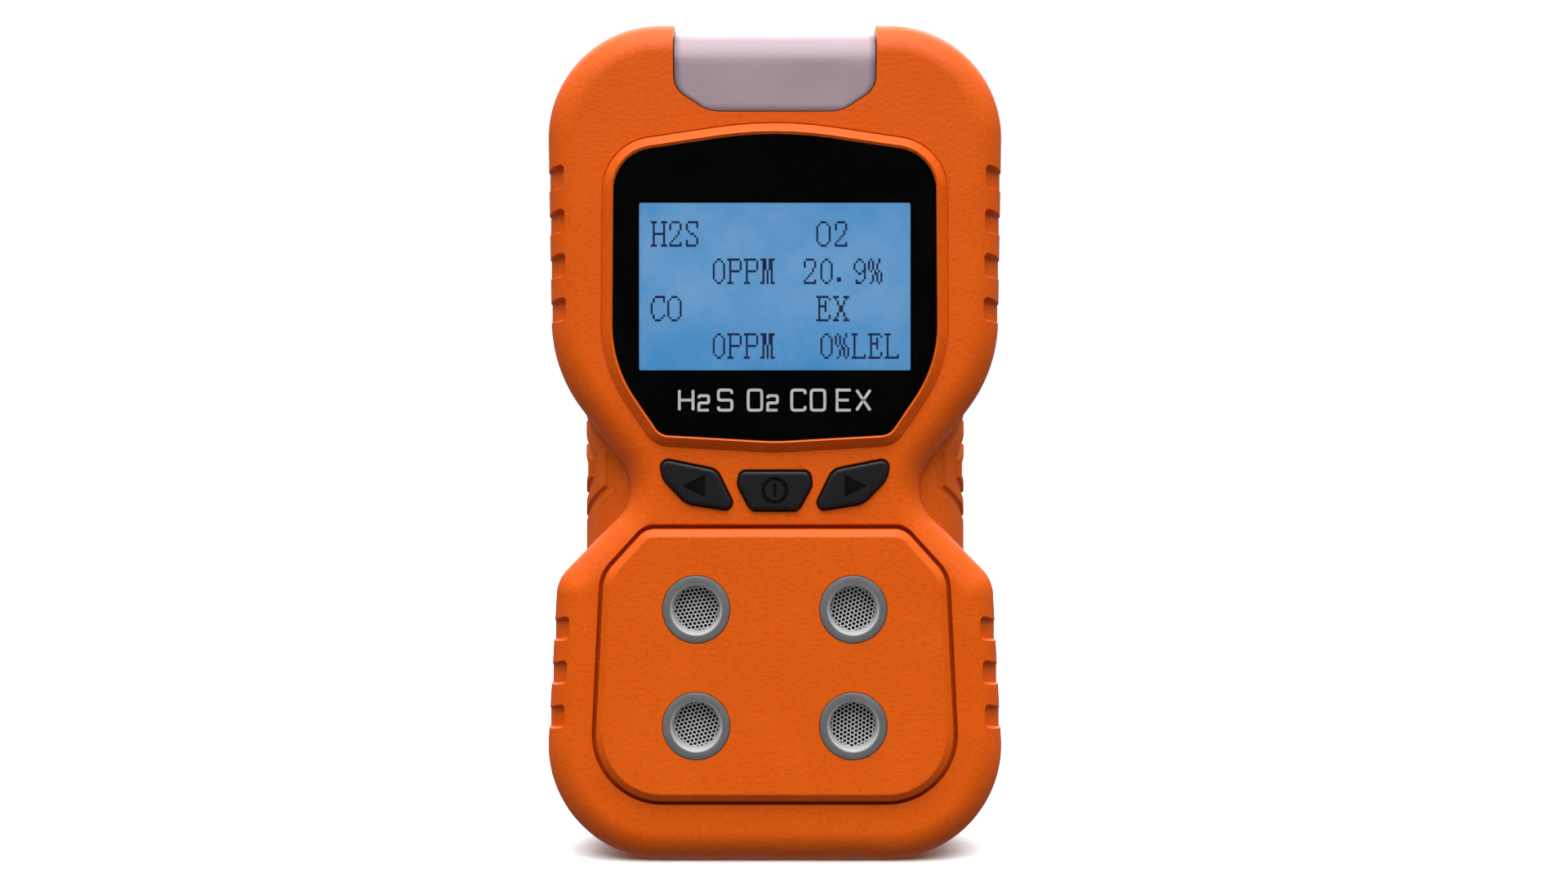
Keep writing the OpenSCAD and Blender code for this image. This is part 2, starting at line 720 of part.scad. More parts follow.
module sensor_panel() color(orange) difference() {
    loft([
        [inset(panel_outline, 1.35), panel_y],
        [inset(panel_outline, 0.25), panel_y + 1],
        [inset(panel_outline, 0.25), panel_floor_y],
    ]);
    for (at = ports) rod(at, ring_d, -20, 0);
    for (at = panel_screw_places) rod(at, 1.7, panel_floor_y - 1.9, 0);
}

module panel_screws() color(steel) for (at = panel_screw_places)
    screw(at, sensor_floor_y, 3.4, 1.1, 1.6, sensor_floor_y - panel_floor_y + 1.7);

screen_y = panel_floor_y - 0.7;
screen_d = throat_d + 1.4;

module sensor_ring(at) color(ring_grey) difference() {
    rod(at, ring_d, panel_y - 0.1, panel_floor_y);
    cone(at, mouth_d + 0.1, throat_d, panel_y - 0.1 - eps, screen_y);
    rod(at, throat_d, screen_y - eps, screen_y + eps);
    rod(at, screen_d, screen_y, 0);
}

// A disc with a honeycomb of holes across the throat, turned by an angle
module sensor_screen(at, angle) color(steel) {
    hole_w = screen_pitch * 0.8;
    rows = floor((throat_d - hole_w) / screen_pitch / 2);
    translate([at.x, screen_y + 0.2, at.y]) rotate([90, 0, 0]) linear_extrude(0.2) difference() {
        circle(d = screen_d);
        rotate(angle) for (i = [-rows:rows]) for (j = [-rows:rows]) {
            place = screen_pitch * [i + j / 2, j * sin(60)];
            if (norm(place) < (throat_d - hole_w) / 2) translate(place) circle(d = hole_w, $fn = 6);
        }
    }
}

module dust_filters() color(white) for (at = ports) rod(at, screen_d - 0.1, screen_y + 0.2, panel_floor_y);

module sensor_gasket() color(charcoal) difference() {
    plate(box_outline(40, 13.5, 47, 4), sensor_floor_y, sensor_y);
    for (at = ports) rod(at, 7, -20, 0);
    for (at = panel_screw_places) rod(at, 5, -20, 0);
}

// A sensor's can with its gas inlet at the front and its pins at the rear
module sensor_cell(at, inlet_d) {
    difference() {
        union() {
            rod(at, sensor_d, sensor_y, sensor_board_y - 0.6);
            rod(at, sensor_d - 1.6, sensor_board_y - 0.7, sensor_board_y);
        }
        rod(at, inlet_d, sensor_y - 1, sensor_y + 1);
    }
    sensor_pins(at, 1);
}

module sensor_ring_h2s() sensor_ring(port_h2s);
module sensor_ring_o2() sensor_ring(port_o2);
module sensor_ring_co() sensor_ring(port_co);
module sensor_ring_ex() sensor_ring(port_ex);
module sensor_screen_h2s() sensor_screen(port_h2s, 8);
module sensor_screen_o2() sensor_screen(port_o2, 20);
module sensor_screen_co() sensor_screen(port_co, 14);
module sensor_screen_ex() sensor_screen(port_ex, 27);
module sensor_h2s() color("#d9c9a3") sensor_cell(port_h2s, 2);
module sensor_o2() color(white) sensor_cell(port_o2, 1.4);
module sensor_co() color("#c9d3dc") sensor_cell(port_co, 2.6);
module sensor_ex() color(steel) sensor_cell(port_ex, 6);

// ---- Belt clip ----

module clip_base() color(steel) difference() {
    union() {
        plate(box_outline(clip_w, clip_base_z[0], clip_base_z[1], 2), rear_y, rear_y + clip_t);
        both() translate([clip_w / 2 - clip_t, 0, 0]) clip_ear();
    }
    for (at = clip_screw_places) rod(at, 2.6, rear_y - 1, rear_y + 3);
    bar(clip_pin_y, clip_pin_z, clip_pin_d, -20, 20);
}

// A lug that stands up from the base plate and holds the pin
module clip_ear() {
    ear_r = 3.4;
    strip([
        [rear_y, clip_ear_z[0]], [clip_pin_y, clip_pin_z - ear_r],
        [clip_pin_y, clip_pin_z + ear_r], [rear_y, clip_ear_z[1]],
    ], 0, clip_t);
    bar(clip_pin_y, clip_pin_z, ear_r * 2, 0, clip_t);
}

module clip_pin() color(steel) {
    bar(clip_pin_y, clip_pin_z, clip_pin_d, -clip_w / 2 - 0.2, clip_w / 2 + 0.2);
    both() bar(clip_pin_y, clip_pin_z, clip_pin_d + 1.6, clip_w / 2 + 0.05, clip_w / 2 + 0.85);
}

// The sprung lever: a thumb plate above the pin and a jaw that bends in below it
module clip_jaw() color(steel) difference() {
    y = clip_pin_y + jaw_reach;
    z = clip_pin_z;
    union() {
        strip([
            [y + 2.8, z + 20], [y + 0.9, z + 12], [y, z + 4], [y, z - 20], [y - 0.6, z - 25],
            [rear_y + clip_t + 0.9, z - 31], [rear_y + clip_t + 0.9, z - 33], [rear_y + 3.4, z - 36],
            [rear_y + 4.6, z - 35.2], [rear_y + clip_t + 2.5, z - 32.4], [y + jaw_t - 0.6, z - 26],
            [y + jaw_t, z - 20], [y + jaw_t, z + 4], [y + jaw_t + 0.9, z + 12], [y + jaw_t + 2.8, z + 19.8],
        ], -jaw_w / 2, jaw_w / 2);
        both() {
            bar(clip_pin_y, z, knuckle_d, coil_w / 2 + 1.1, jaw_w / 2);
            block([coil_w / 2 + 1.1, jaw_w / 2], [clip_pin_y, y + 0.4], [z - 2.4, z + 2.4]);
        }
    }
    bar(clip_pin_y, z, clip_pin_d + 2 * jaw_bore_gap, -20, 20);
}

// A close-wound torsion spring, with one leg on the base and one behind the thumb plate
module clip_spring() color(steel) {
    bore_d = clip_pin_d + 0.3;
    mean_r = (bore_d + coil_wire_d) / 2;
    leg_l = 7;
    turn_w = coil_wire_d * 0.75;
    difference() {
        union() {
            bar(clip_pin_y, clip_pin_z, bore_d + 1.5 * coil_wire_d, -coil_w / 2, coil_w / 2);
            for (i = [0:coil_turns - 1]) let (x = (i / (coil_turns - 1) - 0.5) * coil_w)
                bar(clip_pin_y, clip_pin_z, bore_d + 2 * coil_wire_d, x - turn_w / 2, x + turn_w / 2);
        }
        bar(clip_pin_y, clip_pin_z, bore_d, -10, 10);
    }
    translate([-coil_w / 2, clip_pin_y - mean_r, clip_pin_z - leg_l]) cylinder(d = coil_wire_d, h = leg_l);
    translate([coil_w / 2, clip_pin_y + mean_r, clip_pin_z]) cylinder(d = coil_wire_d, h = leg_l);
}

module clip_screws() color(steel) for (at = clip_screw_places) screw(at, rear_y + clip_t, 4.2, 1.3, 2, 6);

// ---- Nodes ----

front_cover();
rear_cover();
housing_seal();
housing_screws();
display_window();
display_mask();
display_gasket();
lcd_panel();
lcd_backlight();
lcd_holder();
lcd_flex();
main_board();
board_chips();
board_screws();
tactile_switches();
keypad_retainer();
button_left();
button_power();
button_right();
switch_plunger_left();
switch_plunger_power();
switch_plunger_right();
sensor_panel();
panel_screws();
sensor_gasket();
dust_filters();
sensor_ring_h2s();
sensor_ring_o2();
sensor_ring_co();
sensor_ring_ex();
sensor_screen_h2s();
sensor_screen_o2();
sensor_screen_co();
sensor_screen_ex();
sensor_h2s();
sensor_o2();
sensor_co();
sensor_ex();
sensor_board();
link_flex();
battery_pack();
battery_contacts();
charge_board();
charging_socket();
port_cover();
port_cover_pin();
buzzer();
vibration_motor();
motor_shaft();
eccentric_weight();
alarm_window();
alarm_leds();
side_grip_left();
side_grip_right();
clip_base();
clip_jaw();
clip_pin();
clip_spring();
clip_screws();
rating_label();
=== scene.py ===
"""The looks of a portable four-gas detector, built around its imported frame.

Sizes in this file are millimetres unless a name says otherwise; meshes are made in metres.
X is right, Y is back and Z is up, as in the frame.
"""

import json
import logging
import math
from dataclasses import dataclass, field
from enum import Enum
from functools import cached_property
from typing import Optional, Sequence

import bmesh
import bpy
import numpy as np
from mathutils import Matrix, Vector


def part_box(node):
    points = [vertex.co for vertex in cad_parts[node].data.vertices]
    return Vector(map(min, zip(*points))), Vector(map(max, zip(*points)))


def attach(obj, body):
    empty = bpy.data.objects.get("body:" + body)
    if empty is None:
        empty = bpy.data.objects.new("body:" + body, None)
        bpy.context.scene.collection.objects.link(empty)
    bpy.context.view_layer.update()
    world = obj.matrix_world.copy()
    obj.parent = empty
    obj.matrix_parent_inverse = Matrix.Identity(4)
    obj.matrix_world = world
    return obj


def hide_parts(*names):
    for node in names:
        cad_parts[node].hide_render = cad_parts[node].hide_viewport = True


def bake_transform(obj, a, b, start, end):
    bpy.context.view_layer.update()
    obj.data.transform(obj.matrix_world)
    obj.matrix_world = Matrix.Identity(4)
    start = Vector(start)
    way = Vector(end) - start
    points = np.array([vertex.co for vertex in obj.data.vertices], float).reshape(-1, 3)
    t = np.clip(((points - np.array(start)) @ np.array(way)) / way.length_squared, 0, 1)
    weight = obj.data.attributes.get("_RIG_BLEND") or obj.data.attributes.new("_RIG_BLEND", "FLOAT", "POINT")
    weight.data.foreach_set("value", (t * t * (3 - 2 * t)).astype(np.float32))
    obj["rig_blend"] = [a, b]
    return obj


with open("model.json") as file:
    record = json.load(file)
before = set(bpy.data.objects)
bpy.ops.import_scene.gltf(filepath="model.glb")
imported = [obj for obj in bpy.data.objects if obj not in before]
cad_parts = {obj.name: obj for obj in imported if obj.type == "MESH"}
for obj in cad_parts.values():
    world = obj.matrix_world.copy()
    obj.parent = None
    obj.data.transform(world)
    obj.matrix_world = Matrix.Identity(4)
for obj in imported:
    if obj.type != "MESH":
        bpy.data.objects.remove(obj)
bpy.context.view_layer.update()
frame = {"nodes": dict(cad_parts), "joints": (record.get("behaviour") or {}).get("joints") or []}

MM = 0.001
CARVE_SEED = 7
CARVE_ATTEMPTS = 8
CARVE_SHIFT = 0.004
LOG = logging.getLogger("gas_detector")
Corner = tuple[float, float, float]
Place = tuple[float, float]
Colour = tuple[float, float, float]
Object = bpy.types.Object


class Body(Enum):
    """The bodies of the frame that pieces ride on."""

    HOUSING = "housing"
    KEY_LEFT = "key_left"
    KEY_POWER = "key_power"
    KEY_RIGHT = "key_right"
    JAW = "jaw"
    FLAP = "flap"
    ROTOR = "rotor"


class Side(Enum):
    """The two sides of the detector, as the sign of X."""

    LEFT = -1
    RIGHT = 1


def extent(node: str) -> tuple[np.ndarray, np.ndarray]:
    """Lowest and highest corner of a frame node, in millimetres.

    Args:
        node: Name of the node.

    Returns:
        The two corners.
    """
    low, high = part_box(node)
    return np.array(low) / MM, np.array(high) / MM


def joint_place(name: str) -> np.ndarray:
    """Place of a joint's axis, in millimetres.

    Args:
        name: Name of the joint.

    Returns:
        A point on the axis.
    """
    return np.array(next(j for j in frame["joints"] if j["name"] == name)["pos_m"]) / MM


# ---- Outlines ----


def unit(vectors: np.ndarray) -> np.ndarray:
    """Vectors of length one along the given ones."""
    return vectors / np.linalg.norm(vectors, axis=-1, keepdims=True)


def corner_arc(a: np.ndarray, b: np.ndarray, c: np.ndarray, radius: float, step: float) -> np.ndarray:
    """Points of the arc that rounds the corner b between a and c.

    The arc's centre lies on the corner's bisector, radius / sin(half angle) from b.

    Args:
        a: Point before the corner.
        b: The corner.
        c: Point after the corner.
        radius: Radius of the arc, or 0 to keep the corner sharp.
        step: Largest turn between two points, in degrees.

    Returns:
        Points on the arc, in order.
    """
    if radius <= 0:
        return b[None]
    to_a, to_c = unit(a - b), unit(c - b)
    half = math.acos(float(to_a @ to_c)) / 2
    centre = b + unit(to_a + to_c) * radius / math.sin(half)
    start = b + to_a * radius / math.tan(half) - centre
    side = np.sign((b - a)[0] * (c - b)[1] - (b - a)[1] * (c - b)[0])
    turn = (math.pi - 2 * half) * side
    steps = max(2, math.ceil(abs(turn) / math.radians(step)))
    t = turn * np.linspace(0, 1, steps + 1)
    x = start[0] * np.cos(t) - start[1] * np.sin(t)
    z = start[0] * np.sin(t) + start[1] * np.cos(t)
    return centre + np.stack([x, z], 1)


@dataclass(frozen=True)
class Outline:
    """A closed outline in X and Z, counter-clockwise as seen from the front."""

    points: np.ndarray

    @classmethod
    def rounded(cls, corners: Sequence[Corner], step: float = 3.0) -> "Outline":
        """An outline through corners (x, z, radius).

        Args:
            corners: The corners in order.
            step: Largest turn between two points of an arc, in degrees.

        Returns:
            The outline.
        """
        p = np.array([c[:2] for c in corners], float)
        n = len(p)
        arcs = [corner_arc(p[i - 1], p[i], p[(i + 1) % n], corners[i][2], step) for i in range(n)]
        return cls(np.concatenate(arcs))

    @classmethod
    def both_sides(
        cls,
        right: Sequence[Corner],
        bottom: Sequence[Corner] = (),
        top: Sequence[Corner] = (),
        step: float = 3.0,
    ) -> "Outline":
        """A symmetrical outline from the corners of its right half.

        Args:
            right: Corners of the right half, bottom to top.
            bottom: A corner on the middle line at the bottom, if there is one.
            top: A corner on the middle line at the top, if there is one.
            step: Largest turn between two points of an arc, in degrees.

        Returns:
            The outline.
        """
        left = [(-x, z, r) for x, z, r in reversed(right)]
        return cls.rounded([*bottom, *right, *top, *left], step)

    @classmethod
    def box(cls, width: float, z0: float, z1: float, radius: float) -> "Outline":
        """A rectangle centred on X = 0 with rounded corners."""
        return cls.both_sides([(width / 2, z0, radius), (width / 2, z1, radius)], step=9)

    @classmethod
    def circle(cls, at: Place, diameter: float, steps: int = 64, turn: float = 0.0) -> "Outline":
        """A circle about a place, with this many points and its first one turned by some radians."""
        a = np.linspace(0, 2 * math.pi, steps, endpoint=False) + turn
        return cls(np.array(at) + np.stack([np.cos(a), np.sin(a)], 1) * diameter / 2)

    def inset(self, distance: float) -> "Outline":
        """The outline moved inwards: each point goes along the bisector of its two edges' normals."""
        p = self.points
        before = unit(p - np.roll(p, 1, 0))
        after = unit(np.roll(p, -1, 0) - p)
        n0 = np.stack([-before[:, 1], before[:, 0]], 1)
        n1 = np.stack([-after[:, 1], after[:, 0]], 1)
        return Outline(p + (n0 + n1) * distance / (1 + (n0 * n1).sum(1, keepdims=True)))

    def mirrored(self) -> "Outline":
        """The outline seen in a mirror at X = 0."""
        return Outline((self.points * [-1, 1])[::-1])

    def half_width(self, z: np.ndarray) -> np.ndarray:
        """Half width at each height, read off the right side, which rises all the way."""
        right = self.points[self.points[:, 0] > 0]
        right = right[np.argsort(right[:, 1])]
        return np.interp(z, right[:, 1], right[:, 0])


# ---- Shapes ----


def quads(rows: int, columns: int, around: bool = True, closed: bool = False) -> np.ndarray:
    """Faces of a grid of points.

    Args:
        rows: Number of rows.
        columns: Number of points in a row.
        around: Whether a row's last point joins its first.
        closed: Whether the last row joins the first.

    Returns:
        Four point numbers for each face.
    """
    r = np.arange(rows if closed else rows - 1)[:, None]
    c = np.arange(columns if around else columns - 1)[None]
    below, beside = (r + 1) % rows, (c + 1) % columns
    corners = [r * columns + c, below * columns + c, below * columns + beside, r * columns + beside]
    return np.stack(corners, -1).reshape(-1, 4)


@dataclass
class Shape:
    """Points and faces, before they become an object."""

    points: np.ndarray
    faces: list

    def __add__(self, other: "Shape") -> "Shape":
        """Both shapes as one."""
        shifted = [[int(i) + len(self.points) for i in f] for f in other.faces]
        return Shape(np.concatenate([self.points, other.points]), list(self.faces) + shifted)

    def mirrored(self) -> "Shape":
        """The shape seen in a mirror at X = 0, with its faces still outwards."""
        return Shape(self.points * [-1, 1, 1], [list(f)[::-1] for f in self.faces])

    def both(self) -> "Shape":
        """The shape and its mirror image."""
        return self + self.mirrored()

    def made(self, name: str, outwards: bool = True) -> Object:
        """The shape as an object at the origin.

        Args:
            name: Name of the object.
            outwards: Whether to turn the faces of closed shells outwards.

        Returns:
            The object, linked to the scene.
        """
        mesh = bpy.data.meshes.new(name)
        mesh.from_pydata((self.points * MM).tolist(), [], [[int(i) for i in f] for f in self.faces])
        if outwards:
            work = bmesh.new()
            work.from_mesh(mesh)
            bmesh.ops.recalc_face_normals(work, faces=work.faces)
            work.to_mesh(mesh)
            work.free()
        made = bpy.data.objects.new(name, mesh)
        bpy.context.scene.collection.objects.link(made)
        return made


def joined(shapes: Sequence[Shape]) -> Shape:
    """All the shapes as one."""
    total = shapes[0]
    for shape in shapes[1:]:
        total = total + shape
    return total


def loft(rings: Sequence[tuple[Outline, float]]) -> Shape:
    """A solid through outlines with the same number of points, front to rear.

    Ring k is outline k placed at its own Y; neighbours are joined point to point, and the two
    ends are flat.

    Args:
        rings: Outline and Y of each ring.

    Returns:
        The closed shape.
    """
    n = len(rings[0][0].points)
    points = np.concatenate([np.insert(o.points, 1, y, axis=1) for o, y in rings])
    last = (len(rings) - 1) * n
    caps = [list(range(n)), list(range(last + n - 1, last - 1, -1))]
    return Shape(points, quads(len(rings), n).tolist() + caps)


def plate(outline: Outline, y0: float, y1: float) -> Shape:
    """An outline carried straight back from y0 to y1."""
    return loft([(outline, y0), (outline, y1)])


def rod(at: Place, diameter: float, y0: float, y1: float, steps: int = 40) -> Shape:
    """A round rod along Y."""
    return plate(Outline.circle(at, diameter, steps), y0, y1)


def block(x: Place, y: Place, z: Place) -> Shape:
    """A rectangular block between two values on each axis."""
    outline = Outline(np.array([(x[0], z[0]), (x[1], z[0]), (x[1], z[1]), (x[0], z[1])], float))
    return plate(outline, y[0], y[1])


def turned(profile: Sequence[Place], at: Place, steps: int = 96) -> Shape:
    """A closed profile of (radius, y) turned about an axis along Y.

    Point (i, j) stands at angle 2 pi i / steps about the axis, at profile point j's radius.

    Args:
        profile: The profile's points, in order.
        at: X and Z of the axis.
        steps: Number of steps round the axis.

    Returns:
        The closed shape.
    """
    p = np.array(profile, float)
    a = np.linspace(0, 2 * math.pi, steps, endpoint=False)[:, None]
    x = at[0] + p[:, 0] * np.cos(a)
    z = at[1] + p[:, 0] * np.sin(a)
    y = np.broadcast_to(p[:, 1], x.shape)
    return Shape(np.stack([x, y, z], -1).reshape(-1, 3), quads(steps, len(p), closed=True).tolist())


def bar(y: float, z: float, outer: float, inner: float, x0: float, x1: float, steps: int = 48) -> Shape:
    """A tube along X with softened ends.

    Args:
        y: Y of the axis.
        z: Z of the axis.
        outer: Outside diameter.
        inner: Bore diameter.
        x0: Left end.
        x1: Right end.
        steps: Number of steps round the axis.

    Returns:
        The closed shape.
    """
    soft = 0.12
    profile = np.array(
        [(inner / 2, x0), (outer / 2 - soft, x0), (outer / 2, x0 + soft), (outer / 2, x1 - soft),
         (outer / 2 - soft, x1), (inner / 2, x1)]
    )
    a = np.linspace(0, 2 * math.pi, steps, endpoint=False)[:, None]
    ys = y + profile[:, 0] * np.cos(a)
    zs = z + profile[:, 0] * np.sin(a)
    xs = np.broadcast_to(profile[:, 1], ys.shape)
    return Shape(np.stack([xs, ys, zs], -1).reshape(-1, 3), quads(steps, len(profile), closed=True).tolist())


def swept(path: np.ndarray, diameter: float, sides: int = 12) -> Shape:
    """A round wire along a path.

    Each ring stands across the path's own direction; its two axes are the path's side, which
    is the direction crossed with X, and their cross product.

    Args:
        path: Points in order.
        diameter: Diameter of the wire.
        sides: Number of points round it.

    Returns:
        The closed shape.
    """
    along = unit(np.gradient(path, axis=0))
    side = unit(np.cross(along, [1.0, 0.02, 0.03]))
    other = np.cross(along, side)
    a = np.linspace(0, 2 * math.pi, sides, endpoint=False)[None, :, None]
    rings = path[:, None] + (np.cos(a) * side[:, None] + np.sin(a) * other[:, None]) * diameter / 2
    n = len(path)
    caps = [list(range(sides)), list(range(n * sides - 1, (n - 1) * sides - 1, -1))]
    return Shape(rings.reshape(-1, 3), quads(n, sides).tolist() + caps)


def stroke(path: Sequence[Place], width: float, y0: float, y1: float, loop: bool = False) -> Shape:
    """A flat pen stroke in X and Z with mitred bends.

    The two sides are the path moved by half the width along the mean normal of its edges.

    Args:
        path: Points of the middle line.
        width: Width of the stroke.
        y0: Front of the stroke.
        y1: Back of the stroke.
        loop: Whether the end joins the start.

    Returns:
        The closed shape.
    """
    p = np.array(path, float)
    edges = unit(np.roll(p, -1, 0) - p) if loop else unit(np.diff(p, axis=0))
    after = edges if loop else np.concatenate([edges, edges[-1:]])
    before = np.roll(edges, 1, 0) if loop else np.concatenate([edges[:1], edges])
    n0 = np.stack([-before[:, 1], before[:, 0]], 1)
    n1 = np.stack([-after[:, 1], after[:, 0]], 1)
    out = (n0 + n1) / (1 + (n0 * n1).sum(1, keepdims=True)) * width / 2
    corners = [(p + out, y0), (p - out, y0), (p - out, y1), (p + out, y1)]
    points = np.stack([np.insert(q, 1, y, axis=1) for q, y in corners], 1).reshape(-1, 3)
    n = len(p)
    caps = [] if loop else [[0, 1, 2, 3], [4 * n - 1, 4 * n - 2, 4 * n - 3, 4 * n - 4]]
    return Shape(points, quads(n, 4, closed=loop).tolist() + caps)


# ---- Mesh work ----


def settle(piece: Object) -> None:
    """Turns the piece's modifiers into its mesh."""
    graph = bpy.context.evaluated_depsgraph_get()
    mesh = bpy.data.meshes.new_from_object(piece.evaluated_get(graph))
    old = piece.data
    piece.modifiers.clear()
    piece.data = mesh
    mesh.name = piece.name
    bpy.data.meshes.remove(old)


def is_closed(mesh: bpy.types.Mesh) -> bool:
    """Whether every edge of a mesh has two faces."""
    work = bmesh.new()
    work.from_mesh(mesh)
    closed = all(edge.is_manifold for edge in work.edges)
    work.free()
    return closed


def carve(piece: Object, tool: Shape, operation: str = "DIFFERENCE", crossing: bool = False) -> None:
    """Cuts a shape out of a piece, or adds it.

    Faces of the two that nearly coincide can leave gaps, so the tool is moved by a few
    thousandths of a millimetre and used again until the result is closed.

    Args:
        piece: The piece to change.
        tool: The closed shape to cut with or to add.
        operation: DIFFERENCE or UNION.
        crossing: Whether the tool's own solids run into each other.
    """
    before = piece.data.copy()
    draws = np.random.default_rng(CARVE_SEED)
    shift = np.zeros(3)
    for attempt in range(CARVE_ATTEMPTS):
        cutter = Shape(tool.points + shift, tool.faces).made("cutter")
        boolean = piece.modifiers.new("carve", "BOOLEAN")
        boolean.object = cutter
        boolean.operation = operation
        boolean.solver = "EXACT"
        boolean.use_self = crossing
        settle(piece)
        mesh = cutter.data
        bpy.data.objects.remove(cutter)
        bpy.data.meshes.remove(mesh)
        if is_closed(piece.data):
            break
        LOG.info("%s: attempt %d left a gap", piece.name, attempt + 1)
        shift = draws.uniform(-CARVE_SHIFT, CARVE_SHIFT, 3)
        if attempt + 1 < CARVE_ATTEMPTS:
            piece.data = before.copy()
    bpy.data.meshes.remove(before)


def smooth(piece: Object, angle: float = 32.0) -> Object:
    """Shades a piece smoothly up to an angle between faces, with large faces weighing most.

    Args:
        piece: The piece.
        angle: Edges sharper than this stay sharp, in degrees.

    Returns:
        The piece.
    """
    mesh = piece.data
    mesh.polygons.foreach_set("use_smooth", np.ones(len(mesh.polygons), bool))
    mesh.set_sharp_from_angle(angle=math.radians(angle))
    weighted = piece.modifiers.new("weighted", "WEIGHTED_NORMAL")
    weighted.keep_sharp = True
    weighted.weight = 90
    return piece


def bevelled(piece: Object, width: float, segments: int = 2, angle: float = 40.0) -> Object:
    """Rounds the edges of a piece that are sharper than an angle.

    Args:
        piece: The piece.
        width: Width of the rounding.
        segments: Number of steps across it.
        angle: The angle, in degrees.

    Returns:
        The piece.
    """
    bevel = piece.modifiers.new("edge", "BEVEL")
    bevel.width = width * MM
    bevel.segments = segments
    bevel.limit_method = "ANGLE"
    bevel.angle_limit = math.radians(angle)
    bevel.use_clamp_overlap = True
    return piece


def softened(node: str, name: str, width: float, segments: int = 2) -> Object:
    """A copy of a frame node with its points merged, its flat faces whole and its edges rounded.

    Args:
        node: The node to copy.
        name: Name of the new piece.
        width: Width of the rounding.
        segments: Number of steps across it.

    Returns:
        The new piece, which isn't yet riding on a body.
    """
    mesh = frame["nodes"][node].data.copy()
    work = bmesh.new()
    work.from_mesh(mesh)
    bmesh.ops.remove_doubles(work, verts=work.verts, dist=2e-6)
    bmesh.ops.dissolve_limit(work, angle_limit=math.radians(0.8), verts=work.verts, edges=work.edges)
    work.to_mesh(mesh)
    work.free()
    piece = bpy.data.objects.new(name, mesh)
    bpy.context.scene.collection.objects.link(piece)
    mesh.name = name
    bevelled(piece, width, segments)
    settle(piece)
    return smooth(piece)


def paint_points(piece: Object, name: str, values: np.ndarray) -> None:
    """Stores a number at each point of a piece for its finish to read."""
    attribute = piece.data.attributes.new(name, "FLOAT", "POINT")
    attribute.data.foreach_set("value", values.astype(np.float32))


# ---- Finishes ----


